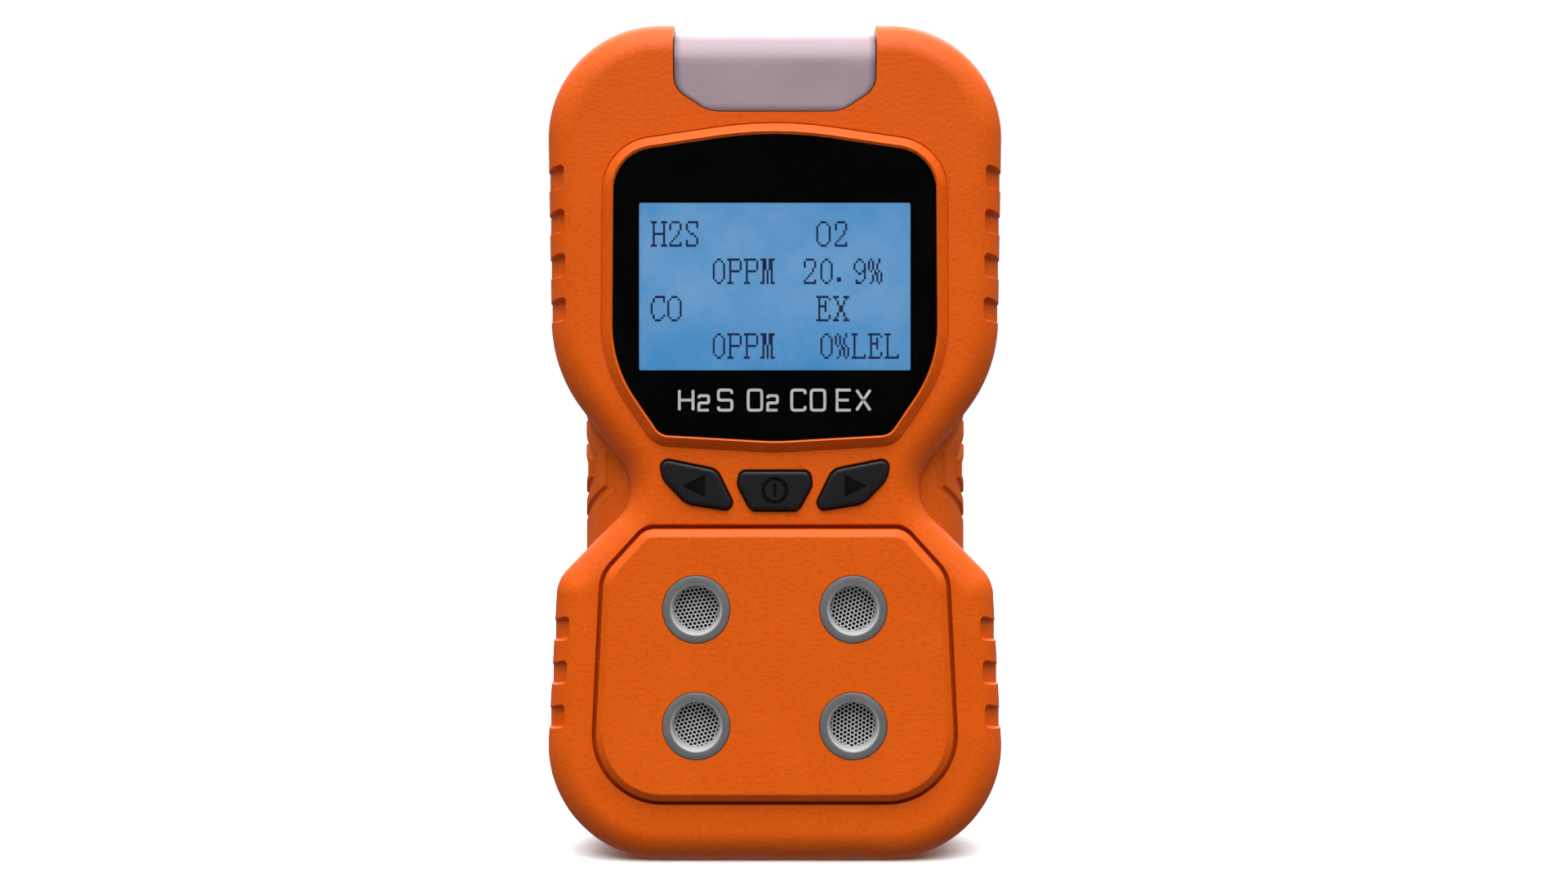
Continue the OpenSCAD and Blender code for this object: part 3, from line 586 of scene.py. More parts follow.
class Graph:
    """A material's nodes, with short names for the ones that the finishes use."""

    def __init__(self, name: str) -> None:
        """Makes an empty material with one surface shader."""
        self.material = bpy.data.materials.new(name)
        self.material.use_nodes = True
        self.nodes = self.material.node_tree.nodes
        self.links = self.material.node_tree.links
        self.shader = next(n for n in self.nodes if n.type == "BSDF_PRINCIPLED")

    def put(self, socket: bpy.types.NodeSocket, value: object) -> None:
        """Links a socket to another, or sets its value."""
        if isinstance(value, bpy.types.NodeSocket):
            self.links.new(value, socket)
        else:
            socket.default_value = value

    def place(self, stretch: Sequence[float] = (1, 1, 1)) -> bpy.types.NodeSocket:
        """Object coordinates, stretched by a factor on each axis."""
        source = self.nodes.new("ShaderNodeTexCoord")
        mapping = self.nodes.new("ShaderNodeMapping")
        mapping.inputs["Scale"].default_value = [1 / s for s in stretch]
        self.links.new(source.outputs["Object"], mapping.inputs["Vector"])
        return mapping.outputs["Vector"]

    def noise(
        self, size: float, detail: float = 3.0, rough: float = 0.5, stretch: Sequence[float] = (1, 1, 1)
    ) -> bpy.types.NodeSocket:
        """Cloudy noise whose patches are about this many millimetres across."""
        node = self.nodes.new("ShaderNodeTexNoise")
        node.inputs["Scale"].default_value = 1 / (size * MM)
        node.inputs["Detail"].default_value = detail
        node.inputs["Roughness"].default_value = rough
        self.links.new(self.place(stretch), node.inputs["Vector"])
        return node.outputs["Fac"]

    def cells(
        self, size: float, edges: bool = False, stretch: Sequence[float] = (1, 1, 1)
    ) -> bpy.types.NodeSocket:
        """Distance to the middle of rounded cells, or to their edges."""
        node = self.nodes.new("ShaderNodeTexVoronoi")
        node.feature = "DISTANCE_TO_EDGE" if edges else "SMOOTH_F1"
        node.inputs["Scale"].default_value = 1 / (size * MM)
        self.links.new(self.place(stretch), node.inputs["Vector"])
        return node.outputs["Distance"]

    def waves(self, size: float, axis: str, bent: float = 0.0) -> bpy.types.NodeSocket:
        """Bands across an axis, one every so many millimetres."""
        node = self.nodes.new("ShaderNodeTexWave")
        node.bands_direction = axis
        node.inputs["Scale"].default_value = 1 / (size * MM) * 2 * math.pi / 20
        node.inputs["Distortion"].default_value = bent
        self.links.new(self.place(), node.inputs["Vector"])
        return node.outputs["Fac"]

    def sum(self, a: object, b: object, share: float) -> bpy.types.NodeSocket:
        """a times (1 - share) plus b times share."""
        node = self.nodes.new("ShaderNodeMix")
        node.inputs["Factor"].default_value = share
        self.put(node.inputs["A"], a)
        self.put(node.inputs["B"], b)
        return node.outputs["Result"]

    def between(
        self, value: bpy.types.NodeSocket, low: float, high: float, source: Place = (0.3, 0.7)
    ) -> bpy.types.NodeSocket:
        """The value moved from its source range to the range low to high."""
        node = self.nodes.new("ShaderNodeMapRange")
        self.put(node.inputs["Value"], value)
        node.inputs["From Min"].default_value, node.inputs["From Max"].default_value = source
        node.inputs["To Min"].default_value, node.inputs["To Max"].default_value = low, high
        return node.outputs["Result"]

    def ramp(
        self, value: bpy.types.NodeSocket, stops: Sequence[tuple[float, Colour]]
    ) -> bpy.types.NodeSocket:
        """A colour for each value, blended between stops."""
        node = self.nodes.new("ShaderNodeValToRGB")
        self.put(node.inputs["Fac"], value)
        elements = node.color_ramp.elements
        while len(elements) < len(stops):
            elements.new(0.5)
        for element, (at, colour) in zip(elements, stops):
            element.position = at
            element.color = (*colour, 1)
        return node.outputs["Color"]

    def blend(self, a: object, b: object, share: object, mode: str = "MIX") -> bpy.types.NodeSocket:
        """Two colours blended by a share."""
        node = self.nodes.new("ShaderNodeMix")
        node.data_type = "RGBA"
        node.blend_type = mode
        self.put(node.inputs["Factor"], share)
        for name, value in (("A", a), ("B", b)):
            socket = next(s for s in node.inputs if s.name == name and s.type == "RGBA")
            self.put(socket, value if isinstance(value, bpy.types.NodeSocket) else (*value, 1))
        return next(s for s in node.outputs if s.type == "RGBA")

    def attribute(self, name: str) -> bpy.types.NodeSocket:
        """A number stored at the piece's points."""
        node = self.nodes.new("ShaderNodeAttribute")
        node.attribute_name = name
        return node.outputs["Fac"]

    def relief(
        self, height: object, depth: float, onto: Optional[bpy.types.NodeSocket] = None
    ) -> bpy.types.NodeSocket:
        """A normal for a height that spans this many millimetres, on top of another relief."""
        node = self.nodes.new("ShaderNodeBump")
        node.inputs["Strength"].default_value = 1.0
        node.inputs["Distance"].default_value = depth * MM
        self.put(node.inputs["Height"], height)
        if onto is not None:
            self.put(node.inputs["Normal"], onto)
        return node.outputs["Normal"]

    def set(self, **values: object) -> None:
        """Sets or links the shader's sockets; an underscore in a name stands for a space."""
        for name, value in values.items():
            self.put(self.shader.inputs[name.replace("_", " ")], value)


@dataclass(frozen=True)
class Finish:
    """A surface: its colour drifts between two tones, over a fine grain.

    The colour follows a cloudy noise, the roughness follows another, and the relief is a small grain.
    """

    name: str
    slot: str
    tone: Colour
    other_tone: Colour
    patch: float = 9.0
    grain: float = 0.5
    stretch: tuple[float, float, float] = (1.0, 1.0, 1.0)
    depth: float = 0.01
    rough: Place = (0.4, 0.55)
    metallic: float = 0.0
    coat: float = 0.0
    sheen: float = 0.0
    transmission: float = 0.0
    ior: float = 1.46

    @cached_property
    def material(self) -> bpy.types.Material:
        """The finish's material, made once."""
        graph = Graph(self.name)
        graph.set(
            Metallic=self.metallic, IOR=self.ior, Coat_Weight=self.coat, Sheen_Weight=self.sheen,
            Transmission_Weight=self.transmission,
        )
        self.paint(graph)
        return graph.material

    def paint(self, graph: Graph) -> None:
        """Fills in the shader's colour, roughness and normal."""
        drift = graph.noise(self.patch, 4, 0.55)
        grain = graph.noise(self.grain, 2, 0.5, self.stretch)
        graph.set(
            Base_Color=graph.ramp(drift, [(0.3, self.tone), (0.7, self.other_tone)]),
            Roughness=graph.between(graph.noise(self.grain * 4, 3), *self.rough),
            Normal=graph.relief(grain, self.depth),
        )

    def dress(self, piece: Object, body: Body, *nodes: str) -> Object:
        """Gives a new piece this finish, hangs it on the body that it moves with and hides the frame nodes
        that it stands for.

        Args:
            piece: The piece.
            body: The body that it moves with.
            *nodes: The frame nodes that it stands for.

        Returns:
            The piece.
        """
        piece.data.materials.clear()
        piece.data.materials.append(self.material)
        if "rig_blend" not in piece:
            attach(piece, body.value)
        if nodes:
            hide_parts(*nodes)
        LOG.info("%s rides on %s", piece.name, body.value)
        return piece

    def dress_node(self, *nodes: str) -> None:
        """Gives frame nodes this finish where they are."""
        for name in nodes:
            node = frame["nodes"][name]
            if not node.material_slots:
                node.data.materials.append(self.material)
            for material_slot in node.material_slots:
                material_slot.material = self.material
            LOG.info("%s keeps its shape", name)


@dataclass(frozen=True)
class MouldedOrange(Finish):
    """Pebbled housing plastic: fine dents drawn out sideways, faint mottling, and small specks of painted
    shade and painted glints.
    """

    pebble: float = 0.42

    def paint(self, graph: Graph) -> None:
        """Mixes dents, pebbles and a wide ripple; small specks are painted darker as shade and lighter as
        glints, and the roughness follows the dents and the mottling.
        """
        dents = graph.noise(self.grain, 3, 0.62, self.stretch)
        pebbles = graph.cells(self.pebble, stretch=(1.5, 1.0, 1.0))
        relief = graph.sum(dents, pebbles, 0.35)
        drift = graph.noise(self.patch, 5, 0.6)
        # Painted shade and painted glints: a small noise multiplies the colour down in some specks and lifts
        # it towards white in others.
        glint_and_shade_speck = graph.noise(0.5, 3, 0.7, (1.6, 1.0, 1.0))
        base = graph.ramp(drift, [(0.3, self.tone), (0.7, self.other_tone)])
        glint_and_shade_stops = [(0.28, (0.86, 0.84, 0.8)), (0.5, (1.0, 1.0, 1.0)), (0.74, (1.06, 1.08, 1.2))]
        glint_and_shade = graph.ramp(glint_and_shade_speck, glint_and_shade_stops)
        ripple = graph.relief(graph.noise(6.0, 2), 0.015)
        graph.set(
            Base_Color=graph.blend(base, glint_and_shade, 1.0, "MULTIPLY"),
            Roughness=graph.between(graph.sum(dents, drift, 0.5), *self.rough),
            Normal=graph.relief(relief, self.depth, ripple),
        )


@dataclass(frozen=True)
class WornMetal(Finish):
    """Metal with fine drawn lines, faint smears and a few wandering scratches."""

    def paint(self, graph: Graph) -> None:
        """Lines run along the stretched axis; scratches are thin edges of large cells."""
        lines = graph.noise(self.grain, 2, 0.6, self.stretch)
        smear = graph.noise(self.patch, 4, 0.6)
        scratches = graph.between(graph.cells(self.patch * 1.3, edges=True), 0.0, 1.0, (0.0, 0.02))
        tone = graph.ramp(graph.sum(smear, lines, 0.4), [(0.3, self.tone), (0.7, self.other_tone)])
        graph.set(
            Base_Color=tone,
            Roughness=graph.between(graph.sum(lines, smear, 0.5), *self.rough),
            Normal=graph.relief(graph.sum(lines, scratches, 0.3), self.depth),
        )


@dataclass(frozen=True)
class BacklitCrystal(Finish):
    """The lit face of the liquid crystal, with the cloudy light of its backlight."""

    glow: float = 1.0

    def paint(self, graph: Graph) -> None:
        """Light drifts from the first tone to the second in wide clouds over a fine dot grid."""
        cloud = graph.sum(graph.noise(26, 2, 0.5, (1.6, 1, 1)), graph.noise(7, 4, 0.6), 0.28)
        fine = graph.noise(0.32, 1, 0.5, (1, 1, 4))
        light = graph.ramp(cloud, [(0.4, self.tone), (0.6, self.other_tone)])
        grid = graph.ramp(fine, [(0.3, (0.95, 0.96, 0.97)), (0.7, (1.0, 1.0, 1.0))])
        lit = graph.blend(light, grid, 1.0, "MULTIPLY")
        graph.set(
            Base_Color=(0.01, 0.02, 0.03, 1), Emission_Color=lit, Emission_Strength=self.glow,
            Roughness=graph.between(fine, *self.rough), Normal=graph.relief(fine, self.depth),
        )


@dataclass(frozen=True)
class RimGraded(Finish):
    """Plastic whose colour changes towards its own rim; on the port rings the lighter rim colour is painted
    light on the roll and cone.
    """

    rim: Colour = (0.19, 0.12, 0.15)
    reach: float = 1.0

    def paint(self, graph: Graph) -> None:
        """The tone goes from the rim's to the middle's over the stored distance to the edge."""
        drift = graph.noise(self.patch, 3)
        middle = graph.ramp(drift, [(0.3, self.tone), (0.7, self.other_tone)])
        edge = graph.between(graph.attribute("edge"), 0.0, 1.0, (0.0, self.reach))
        grain = graph.noise(self.grain, 2)
        graph.set(
            Base_Color=graph.blend(self.rim, middle, edge),
            Roughness=graph.between(drift, *self.rough),
            Normal=graph.relief(grain, self.depth),
        )


@dataclass(frozen=True)
class BoardLacquer(Finish):
    """Solder resist over copper tracks that run in both directions."""

    track: float = 1.4

    def paint(self, graph: Graph) -> None:
        """Tracks are where either of two sets of bands is high; they stand up a little."""
        across = graph.between(graph.waves(self.track, "X", 1.2), 0.0, 1.0, (0.55, 0.65))
        upward = graph.between(graph.waves(self.track * 1.3, "Z", 1.2), 0.0, 1.0, (0.6, 0.7))
        tracks = graph.sum(across, upward, 0.5)
        graph.set(
            Base_Color=graph.ramp(tracks, [(0.1, self.tone), (0.6, self.other_tone)]),
            Roughness=graph.between(graph.noise(2.0, 3), *self.rough),
            Normal=graph.relief(tracks, self.depth),
        )


@dataclass(frozen=True)
class Weave(Finish):
    """A fine woven or pressed membrane."""

    def paint(self, graph: Graph) -> None:
        """Threads are two crossed sets of bands."""
        threads = graph.sum(graph.waves(self.grain, "X"), graph.waves(self.grain, "Z"), 0.5)
        graph.set(
            Base_Color=graph.ramp(threads, [(0.2, self.tone), (0.8, self.other_tone)]),
            Roughness=graph.between(threads, *self.rough),
            Normal=graph.relief(threads, self.depth),
        )


@dataclass(frozen=True)
class Palette:
    """Every finish on the detector."""

    cover: Finish = MouldedOrange(
        "pebbled_orange_cover", "cover_orange", (0.62, 0.086, 0.0012), (0.655, 0.094, 0.0016),
        patch=14, grain=0.42, stretch=(1.7, 1.0, 1.0), depth=0.055, rough=(0.36, 0.5), ior=1.26,
    )
    panel: Finish = MouldedOrange(
        "pebbled_orange_panel", "panel_orange", (0.625, 0.087, 0.0014), (0.66, 0.096, 0.0018),
        patch=11, grain=0.44, stretch=(1.7, 1.0, 1.0), depth=0.055, rough=(0.36, 0.5), ior=1.26,
    )
    grip: Finish = MouldedOrange(
        "soft_orange_grip", "grip_orange", (0.55, 0.084, 0.003), (0.62, 0.1, 0.0036),
        patch=6, grain=0.3, stretch=(1.2, 1.0, 1.0), depth=0.025, rough=(0.55, 0.7),
        sheen=0.03, pebble=0.3, ior=1.2,
    )
    key: Finish = Finish(
        "charcoal_key_rubber", "key_charcoal", (0.0028, 0.0028, 0.004), (0.004, 0.0039, 0.0055),
        patch=4, grain=0.18, depth=0.006, rough=(0.38, 0.5), sheen=0.02, ior=1.35,
    )
    key_mark: Finish = Finish(
        "gloss_black_mark", "key_charcoal", (0.0006, 0.0006, 0.0007), (0.0014, 0.0013, 0.0014),
        patch=2, grain=0.15, depth=0.003, rough=(0.4, 0.5), ior=1.2,
    )
    seal: Finish = Finish(
        "black_seal_rubber", "seal_black", (0.01, 0.01, 0.01), (0.02, 0.019, 0.018),
        patch=5, grain=0.25, depth=0.01, rough=(0.65, 0.8),
    )
    screw: Finish = WornMetal(
        "plated_screw_steel", "screw_steel", (0.5, 0.5, 0.5), (0.64, 0.64, 0.63),
        patch=2.5, grain=0.12, stretch=(3, 1, 1), depth=0.004, rough=(0.24, 0.42), metallic=1.0,
    )
    clip: Finish = WornMetal(
        "brushed_clip_steel", "clip_steel", (0.5, 0.5, 0.51), (0.66, 0.66, 0.66),
        patch=9, grain=0.1, stretch=(1, 1, 40), depth=0.004, rough=(0.22, 0.4), metallic=1.0,
    )
    # Lighter rim colour on the roll and cone: a painted highlight for the light that falls into the port.
    ring: Finish = RimGraded(
        "satin_grey_ring", "ring_grey", (0.105, 0.105, 0.11), (0.125, 0.125, 0.13),
        patch=3, grain=0.16, depth=0.005, rough=(0.36, 0.5), rim=(0.4, 0.4, 0.415), reach=0.3,
    )
    screen: Finish = WornMetal(
        "perforated_steel", "screen_steel", (0.6, 0.6, 0.61), (0.78, 0.78, 0.79),
        patch=1.6, grain=0.1, depth=0.003, rough=(0.25, 0.4), metallic=0.3,
    )
    steel: Finish = WornMetal(
        "stamped_steel", "switch_steel", (0.5, 0.5, 0.49), (0.64, 0.64, 0.62),
        patch=3, grain=0.12, stretch=(4, 1, 1), depth=0.004, rough=(0.28, 0.45), metallic=1.0,
    )
    can_steel: Finish = WornMetal(
        "drawn_can_steel", "sensor_can_steel", (0.5, 0.5, 0.48), (0.64, 0.63, 0.6),
        patch=4, grain=0.12, stretch=(1, 6, 1), depth=0.004, rough=(0.28, 0.45), metallic=1.0,
    )
    brass: Finish = WornMetal(
        "plated_brass", "contact_brass", (0.66, 0.45, 0.17), (0.82, 0.6, 0.26),
        patch=3, grain=0.12, stretch=(1, 1, 5), depth=0.004, rough=(0.25, 0.4), metallic=1.0,
    )
    glass: Finish = Finish(
        "clear_window", "window_clear", (0.97, 0.98, 0.985), (0.985, 0.99, 0.99),
        patch=30, grain=18, depth=0.0005, rough=(0.012, 0.03), transmission=1.0, ior=1.05,
    )
    mask: Finish = Finish(
        "printed_black_mask", "mask_black", (0.0004, 0.0004, 0.0005), (0.0008, 0.0008, 0.0009),
        patch=6, grain=0.1, depth=0.001, rough=(0.5, 0.6), ior=1.03,
    )
    print_grey: Finish = Finish(
        "printed_grey_ink", "diffuser_white", (0.27, 0.27, 0.275), (0.32, 0.32, 0.325),
        patch=2, grain=0.12, depth=0.002, rough=(0.5, 0.6),
    )
    crystal: Finish = BacklitCrystal(
        "backlit_blue", "lcd_blue", (0.05, 0.225, 0.5), (0.135, 0.31, 0.545),
        depth=0.0005, rough=(0.35, 0.45), ior=1.1,
    )
    dots: Finish = Finish(
        "dark_crystal_dots", "lcd_blue", (0.002, 0.006, 0.028), (0.004, 0.011, 0.045),
        patch=1.5, grain=0.2, depth=0.001, rough=(0.5, 0.6), ior=1.2,
    )
    diffuser: Finish = Finish(
        "milky_diffuser", "diffuser_white", (0.72, 0.74, 0.77), (0.82, 0.84, 0.86),
        patch=6, grain=0.4, depth=0.003, rough=(0.35, 0.5), transmission=0.2,
    )
    black: Finish = Finish(
        "moulded_black", "housing_black", (0.012, 0.012, 0.013), (0.02, 0.02, 0.021),
        patch=5, grain=0.3, depth=0.012, rough=(0.45, 0.6),
    )
    flex: Finish = Finish(
        "amber_film", "flex_amber", (0.4, 0.15, 0.02), (0.55, 0.22, 0.035),
        patch=5, grain=0.5, stretch=(1, 1, 12), depth=0.006, rough=(0.2, 0.35), coat=0.3,
    )
    board: Finish = BoardLacquer(
        "green_board", "board_green", (0.008, 0.09, 0.03), (0.02, 0.17, 0.06),
        depth=0.03, rough=(0.25, 0.4),
    )
    # Near black: the membrane's own dark colour, which also stands in as painted shade for the depth behind
    # the screens.
    filter: Finish = Weave(
        "dust_membrane", "filter_black", (0.004, 0.004, 0.004), (0.012, 0.012, 0.012),
        grain=0.12, depth=0.01, rough=(0.85, 0.95), ior=1.2,
    )
    can: Finish = Finish(
        "sensor_moulding", "sensor_can", (0.66, 0.62, 0.5), (0.78, 0.75, 0.66),
        patch=5, grain=0.3, depth=0.01, rough=(0.35, 0.5),
    )
    battery: Finish = Finish(
        "blue_shrink_wrap", "battery_blue", (0.02, 0.07, 0.24), (0.04, 0.11, 0.32),
        patch=9, grain=3.5, stretch=(3, 1, 1), depth=0.12, rough=(0.2, 0.32), coat=0.4,
    )
    flap: Finish = Finish(
        "flap_rubber", "flap_rubber", (0.016, 0.016, 0.017), (0.026, 0.025, 0.026),
        patch=4, grain=0.25, depth=0.012, rough=(0.6, 0.75), sheen=0.1,
    )
    window: Finish = RimGraded(
        "frosted_alarm_window", "alarm_mauve", (0.34, 0.245, 0.288), (0.375, 0.272, 0.32),
        patch=8, grain=0.25, depth=0.004, rough=(0.38, 0.5), transmission=0.12,
        rim=(0.13, 0.075, 0.1), reach=1.1,
    )
    led: Finish = Finish(
        "led_moulding", "led_white", (0.76, 0.75, 0.68), (0.86, 0.85, 0.8),
        patch=1.5, grain=0.2, depth=0.003, rough=(0.2, 0.3), transmission=0.3,
    )
    label: Finish = Finish(
        "label_film", "label_white", (0.66, 0.66, 0.65), (0.74, 0.74, 0.72),
        patch=7, grain=0.2, depth=0.002, rough=(0.35, 0.5), coat=0.15,
    )


# ---- Measures taken from the frame ----


@dataclass(frozen=True)
class Levels:
    """Depths along Y that several pieces share."""

    rim: float = float(extent("front_cover")[0][1])
    rear: float = float(extent("rear_cover")[1][1])
    seam: float = float(extent("housing_seal")[1][1])
    lens: float = float(extent("display_window")[0][1])
    mask: float = float(extent("display_mask")[0][1])
    gasket: float = float(extent("display_gasket")[0][1])
    ledge: float = float(extent("display_gasket")[1][1])
    crystal: float = float(extent("lcd_panel")[0][1])
    panel: float = float(extent("sensor_panel")[0][1])
    panel_floor: float = float(extent("sensor_panel")[1][1])
    sensor_floor: float = float(extent("sensor_gasket")[0][1])
    sensor_board: float = float(extent("sensor_board")[0][1])
    main_board: float = float(extent("main_board")[0][1])
    frame_rise: float = 1.2

    @property
    def front(self) -> float:
        """The flat front face."""
        return self.rim + self.frame_rise


LEVELS = Levels()
HEIGHT = float(extent("rear_cover")[1][2])
PORTS = ("h2s", "o2", "co", "ex")


def port_place(gas: str) -> Place:
    """X and Z of the middle of a sensor's port."""
    low, high = extent(f"sensor_ring_{gas}")
    return float(low[0] + high[0]) / 2, float(low[2] + high[2]) / 2


@dataclass(frozen=True)
class Outlines:
    """The outlines that neighbouring pieces share."""

    body: Outline = Outline.both_sides(
        [(36.4, 0, 17.8), (34, 43.6, 6), (20.5, 57.3, 6.7), (34.75, 76.3, 23), (35.65, HEIGHT, 17.5)],
        step=2.5,
    )
    lens: Outline = Outline.both_sides(
        [(17.6, 66.2, 2.5), (24.95, 77, 20), (24.75, 109.4, 6.5)], [(0, 65.2, 40)], [(0, 113.1, 60)]
    )
    panel: Outline = Outline.both_sides([(28.3, 9.5, 10.5), (26.6, 44.6, 6), (20, 51.9, 3.5)])
    alarm: Outline = Outline.both_sides([(10.2, 116.1, 6), (15.5, 119.6, 3.5), (15.7, HEIGHT + 6, 0)])
    power: Outline = Outline.both_sides([(3.6, 54.6, 1), (5.65, 58.4, 1.2), (5.3, 60.5, 1)], step=7)
    arrow: Outline = Outline.rounded(
        [(6, 54.5, 0.9), (13.6, 55.7, 3), (17, 59.2, 2.5), (17.9, 62.5, 1.1), (9, 60.7, 2.2)], step=7
    )


OUTLINES = Outlines()


# ---- Housing ----


@dataclass
class Covers:
    """The front and rear covers, with what they hold on to."""

    palette: Palette
    wall: float = 2.4
    edge: float = 5.0
    edge_steps: int = 14
    frame_slope: float = 1.75
    notch_height: float = 3.75
    notch_depth: float = 1.1
    notch_end: float = 2.25
    notch_lean: float = 0.42
    notch_rise: float = -0.22
    notch_round: float = 0.75
    notch_tail: float = 6.0
    notch_reach: float = 3.0
    side_depth: float = 0.14
    key_gap: float = 0.2
    opening_gap: float = 0.15
    screw_places: tuple[Place, ...] = ((-27.5, 117.6), (27.5, 117.6), (-26.5, 11.5), (26.5, 11.5))
    board_places: tuple[Place, ...] = ((-29, 104), (29, 104), (-17.5, 50.8), (17.5, 50.8))
    sensor_places: tuple[Place, ...] = ((-22.9, 45.5), (22.9, 45.5), (-22.9, 19), (22.9, 19))
    clip_places: tuple[Place, ...] = ((-6.5, 74.5), (6.5, 74.5))
    buzzer_place: Place = (0.0, 110.0)
    head_notches: np.ndarray = field(default_factory=lambda: 85.7 + 6.83 * np.arange(4))
    base_notches: np.ndarray = field(default_factory=lambda: 22.8 + 6.8 * np.arange(3))

    def half(self, face: float, seam: float) -> Shape:
        """Half of the housing as a full solid with a rounded outer edge.

        The edge is a quarter circle: at angle t the outline is inset by r (1 - sin t) and
        stands r (1 - cos t) behind the face.

        Args:
            face: Y of the outer face.
            seam: Y of the face where the covers meet.

        Returns:
            The closed shape.
        """
        inwards = math.copysign(1, seam - face)
        t = np.linspace(0, math.pi / 2, self.edge_steps + 1)
        insets = np.append(self.edge * (1 - np.sin(t)), 0.0)
        depths = np.append(face + inwards * self.edge * (1 - np.cos(t)), seam)
        rings = [(OUTLINES.body.inset(d), y) for d, y in zip(insets, depths)]
        return loft(rings if inwards > 0 else rings[::-1])

    def side_at(self, z: float) -> float:
        """Half width of the covers at a height."""
        right = OUTLINES.body.points[OUTLINES.body.points[:, 0] > 0]
        return float(np.interp(z, right[:, 1], right[:, 0]))

    def notch(self, z: float, face: float) -> Shape:
        """A recess across the rounded edge.

        Its floor follows the edge's own arc at a radius that grows to the side's depth, and then
        runs straight back. The middle drops towards the outside. The top and bottom walls lean outwards and
        the end near the face is rounded: at each step along the floor, the half height is that
        of a half circle until it is full.

        Args:
            z: Height of its middle.
            face: Y of the outer face.

        Returns:
            The closed cutter on the right side.
        """
        inwards = math.copysign(1, -face)
        start = math.asin(self.notch_end / (self.edge - self.notch_depth))
        near, far = np.linspace(start - 0.13, start + 0.32, 9), np.linspace(start + 0.45, math.pi / 2, 7)
        angle = np.concatenate([near, far])
        gone = (angle - angle[0]) / (angle[-1] - angle[0])
        floor_r = self.edge - self.notch_depth + (self.notch_depth - self.side_depth) * gone**2
        along = (angle - angle[0]) * floor_r
        cx, cy = self.side_at(z) - self.edge, face + inwards * self.edge
        y = np.append(cy - inwards * floor_r * np.cos(angle), cy + inwards * self.notch_tail)
        x = np.append(cx + floor_r * np.sin(angle), cx + floor_r[-1])
        along = np.append(along, along[-1] + self.notch_tail)
        full = np.sqrt(np.clip(1 - (1 - np.clip(along / self.notch_round, 0, 1)) ** 2, 0.02, 1))
        half = self.notch_height / 2 - self.notch_lean * self.notch_depth - self.notch_round * (1 - full)
        rise = self.notch_rise * (x - x[0]) + z
        out = np.stack([np.append(np.sin(angle), 1.0), np.append(-inwards * np.cos(angle), 0.0)], 1)
        rows = []
        for height, distance in ((-1, 0), (1, 0), (1, self.notch_reach), (-1, self.notch_reach)):
            zs = rise + height * (half + self.notch_lean * distance)
            rows.append(np.stack([x + out[:, 0] * distance, y + out[:, 1] * distance, zs], 1))
        points = np.stack(rows, 1).reshape(-1, 3)
        n = len(x)
        caps = [[0, 1, 2, 3], [4 * n - 1, 4 * n - 2, 4 * n - 3, 4 * n - 4]]
        return Shape(points, quads(n, 4).tolist() + caps)

    def notches(self, face: float) -> Shape:
        """All the recesses on one cover."""
        heights = [*self.head_notches, *self.base_notches]
        return joined([self.notch(float(z), face) for z in heights]).both()

    def front(self) -> None:
        """The front cover: a shell with the display's sloped frame, key holes and the panel's recess."""
        face, inner = LEVELS.front, LEVELS.front + self.wall
        piece = self.half(face, -LEVELS.seam).made("cover_front")
        rim = OUTLINES.lens
        foot = rim.inset(-self.frame_slope)
        crease = foot.inset(-0.18)
        carve(piece, loft([
            (crease, face - 0.5), (crease, face - 0.001), (foot.inset(-0.07), face + 0.14),
            (foot.inset(-0.05), face + 0.16),
        ]))
        carve(piece, loft([
            (rim.inset(-0.36), LEVELS.rim), (rim.inset(-0.48), LEVELS.rim + 0.08),
            (foot.inset(0.12), face - 0.08), (foot.inset(0.02), face + 0.05), (foot, face + 0.6),
        ]), "UNION")
        carve(piece, plate(OUTLINES.body.inset(self.wall), inner, 1))
        carve(piece, plate(OUTLINES.panel.inset(-0.8), inner - 0.2, LEVELS.sensor_floor), "UNION")
        posts = [rod(at, 7, inner - 0.25, -LEVELS.seam - 0.02) for at in self.screw_places]
        carve(piece, joined(posts), "UNION")
        posts = [rod(at, 4.4, inner - 0.3, LEVELS.main_board) for at in self.board_places]
        carve(piece, joined(posts), "UNION")
        posts = [rod(at, 4.4, LEVELS.sensor_floor - 0.3, LEVELS.sensor_board) for at in self.sensor_places]
        carve(piece, joined(posts), "UNION")
        low, _ = extent("display_mask")
        opening = plate(Outline.box(45.4, low[2] + 9.1, low[2] + 38.5, 1.3), LEVELS.ledge - 0.3, inner + 0.3)
        lip = rim.inset(-0.34)
        pocket = loft([
            (lip, LEVELS.rim - 0.5), (lip, LEVELS.rim - 0.001), (rim.inset(-0.1), LEVELS.rim + 0.2),
            (rim.inset(-0.1), LEVELS.ledge),
        ])
        carve(piece, pocket)
        carve(piece, opening)
        keys = [OUTLINES.power, OUTLINES.arrow, OUTLINES.arrow.mirrored()]
        flare = 0.32
        for key in keys:
            mouth, hole = key.inset(-self.key_gap - flare), key.inset(-self.key_gap)
            carve(piece, loft([
                (mouth, face - 0.5), (mouth, face - 0.001), (key.inset(-self.key_gap - 0.1), face + 0.1),
                (hole, face + flare), (hole, inner + 0.5),
            ]))
        recess = OUTLINES.panel.inset(-0.35)
        mouth = recess.inset(-0.32)
        carve(piece, loft([
            (mouth, face - 0.5), (mouth, face - 0.001), (recess.inset(-0.1), face + 0.1),
            (recess, face + 0.32), (recess, LEVELS.panel_floor),
        ]))
        gas_ways = [rod(port_place(g), 7, LEVELS.panel_floor - 0.3, LEVELS.sensor_floor + 0.3) for g in PORTS]
        carve(piece, joined(gas_ways))
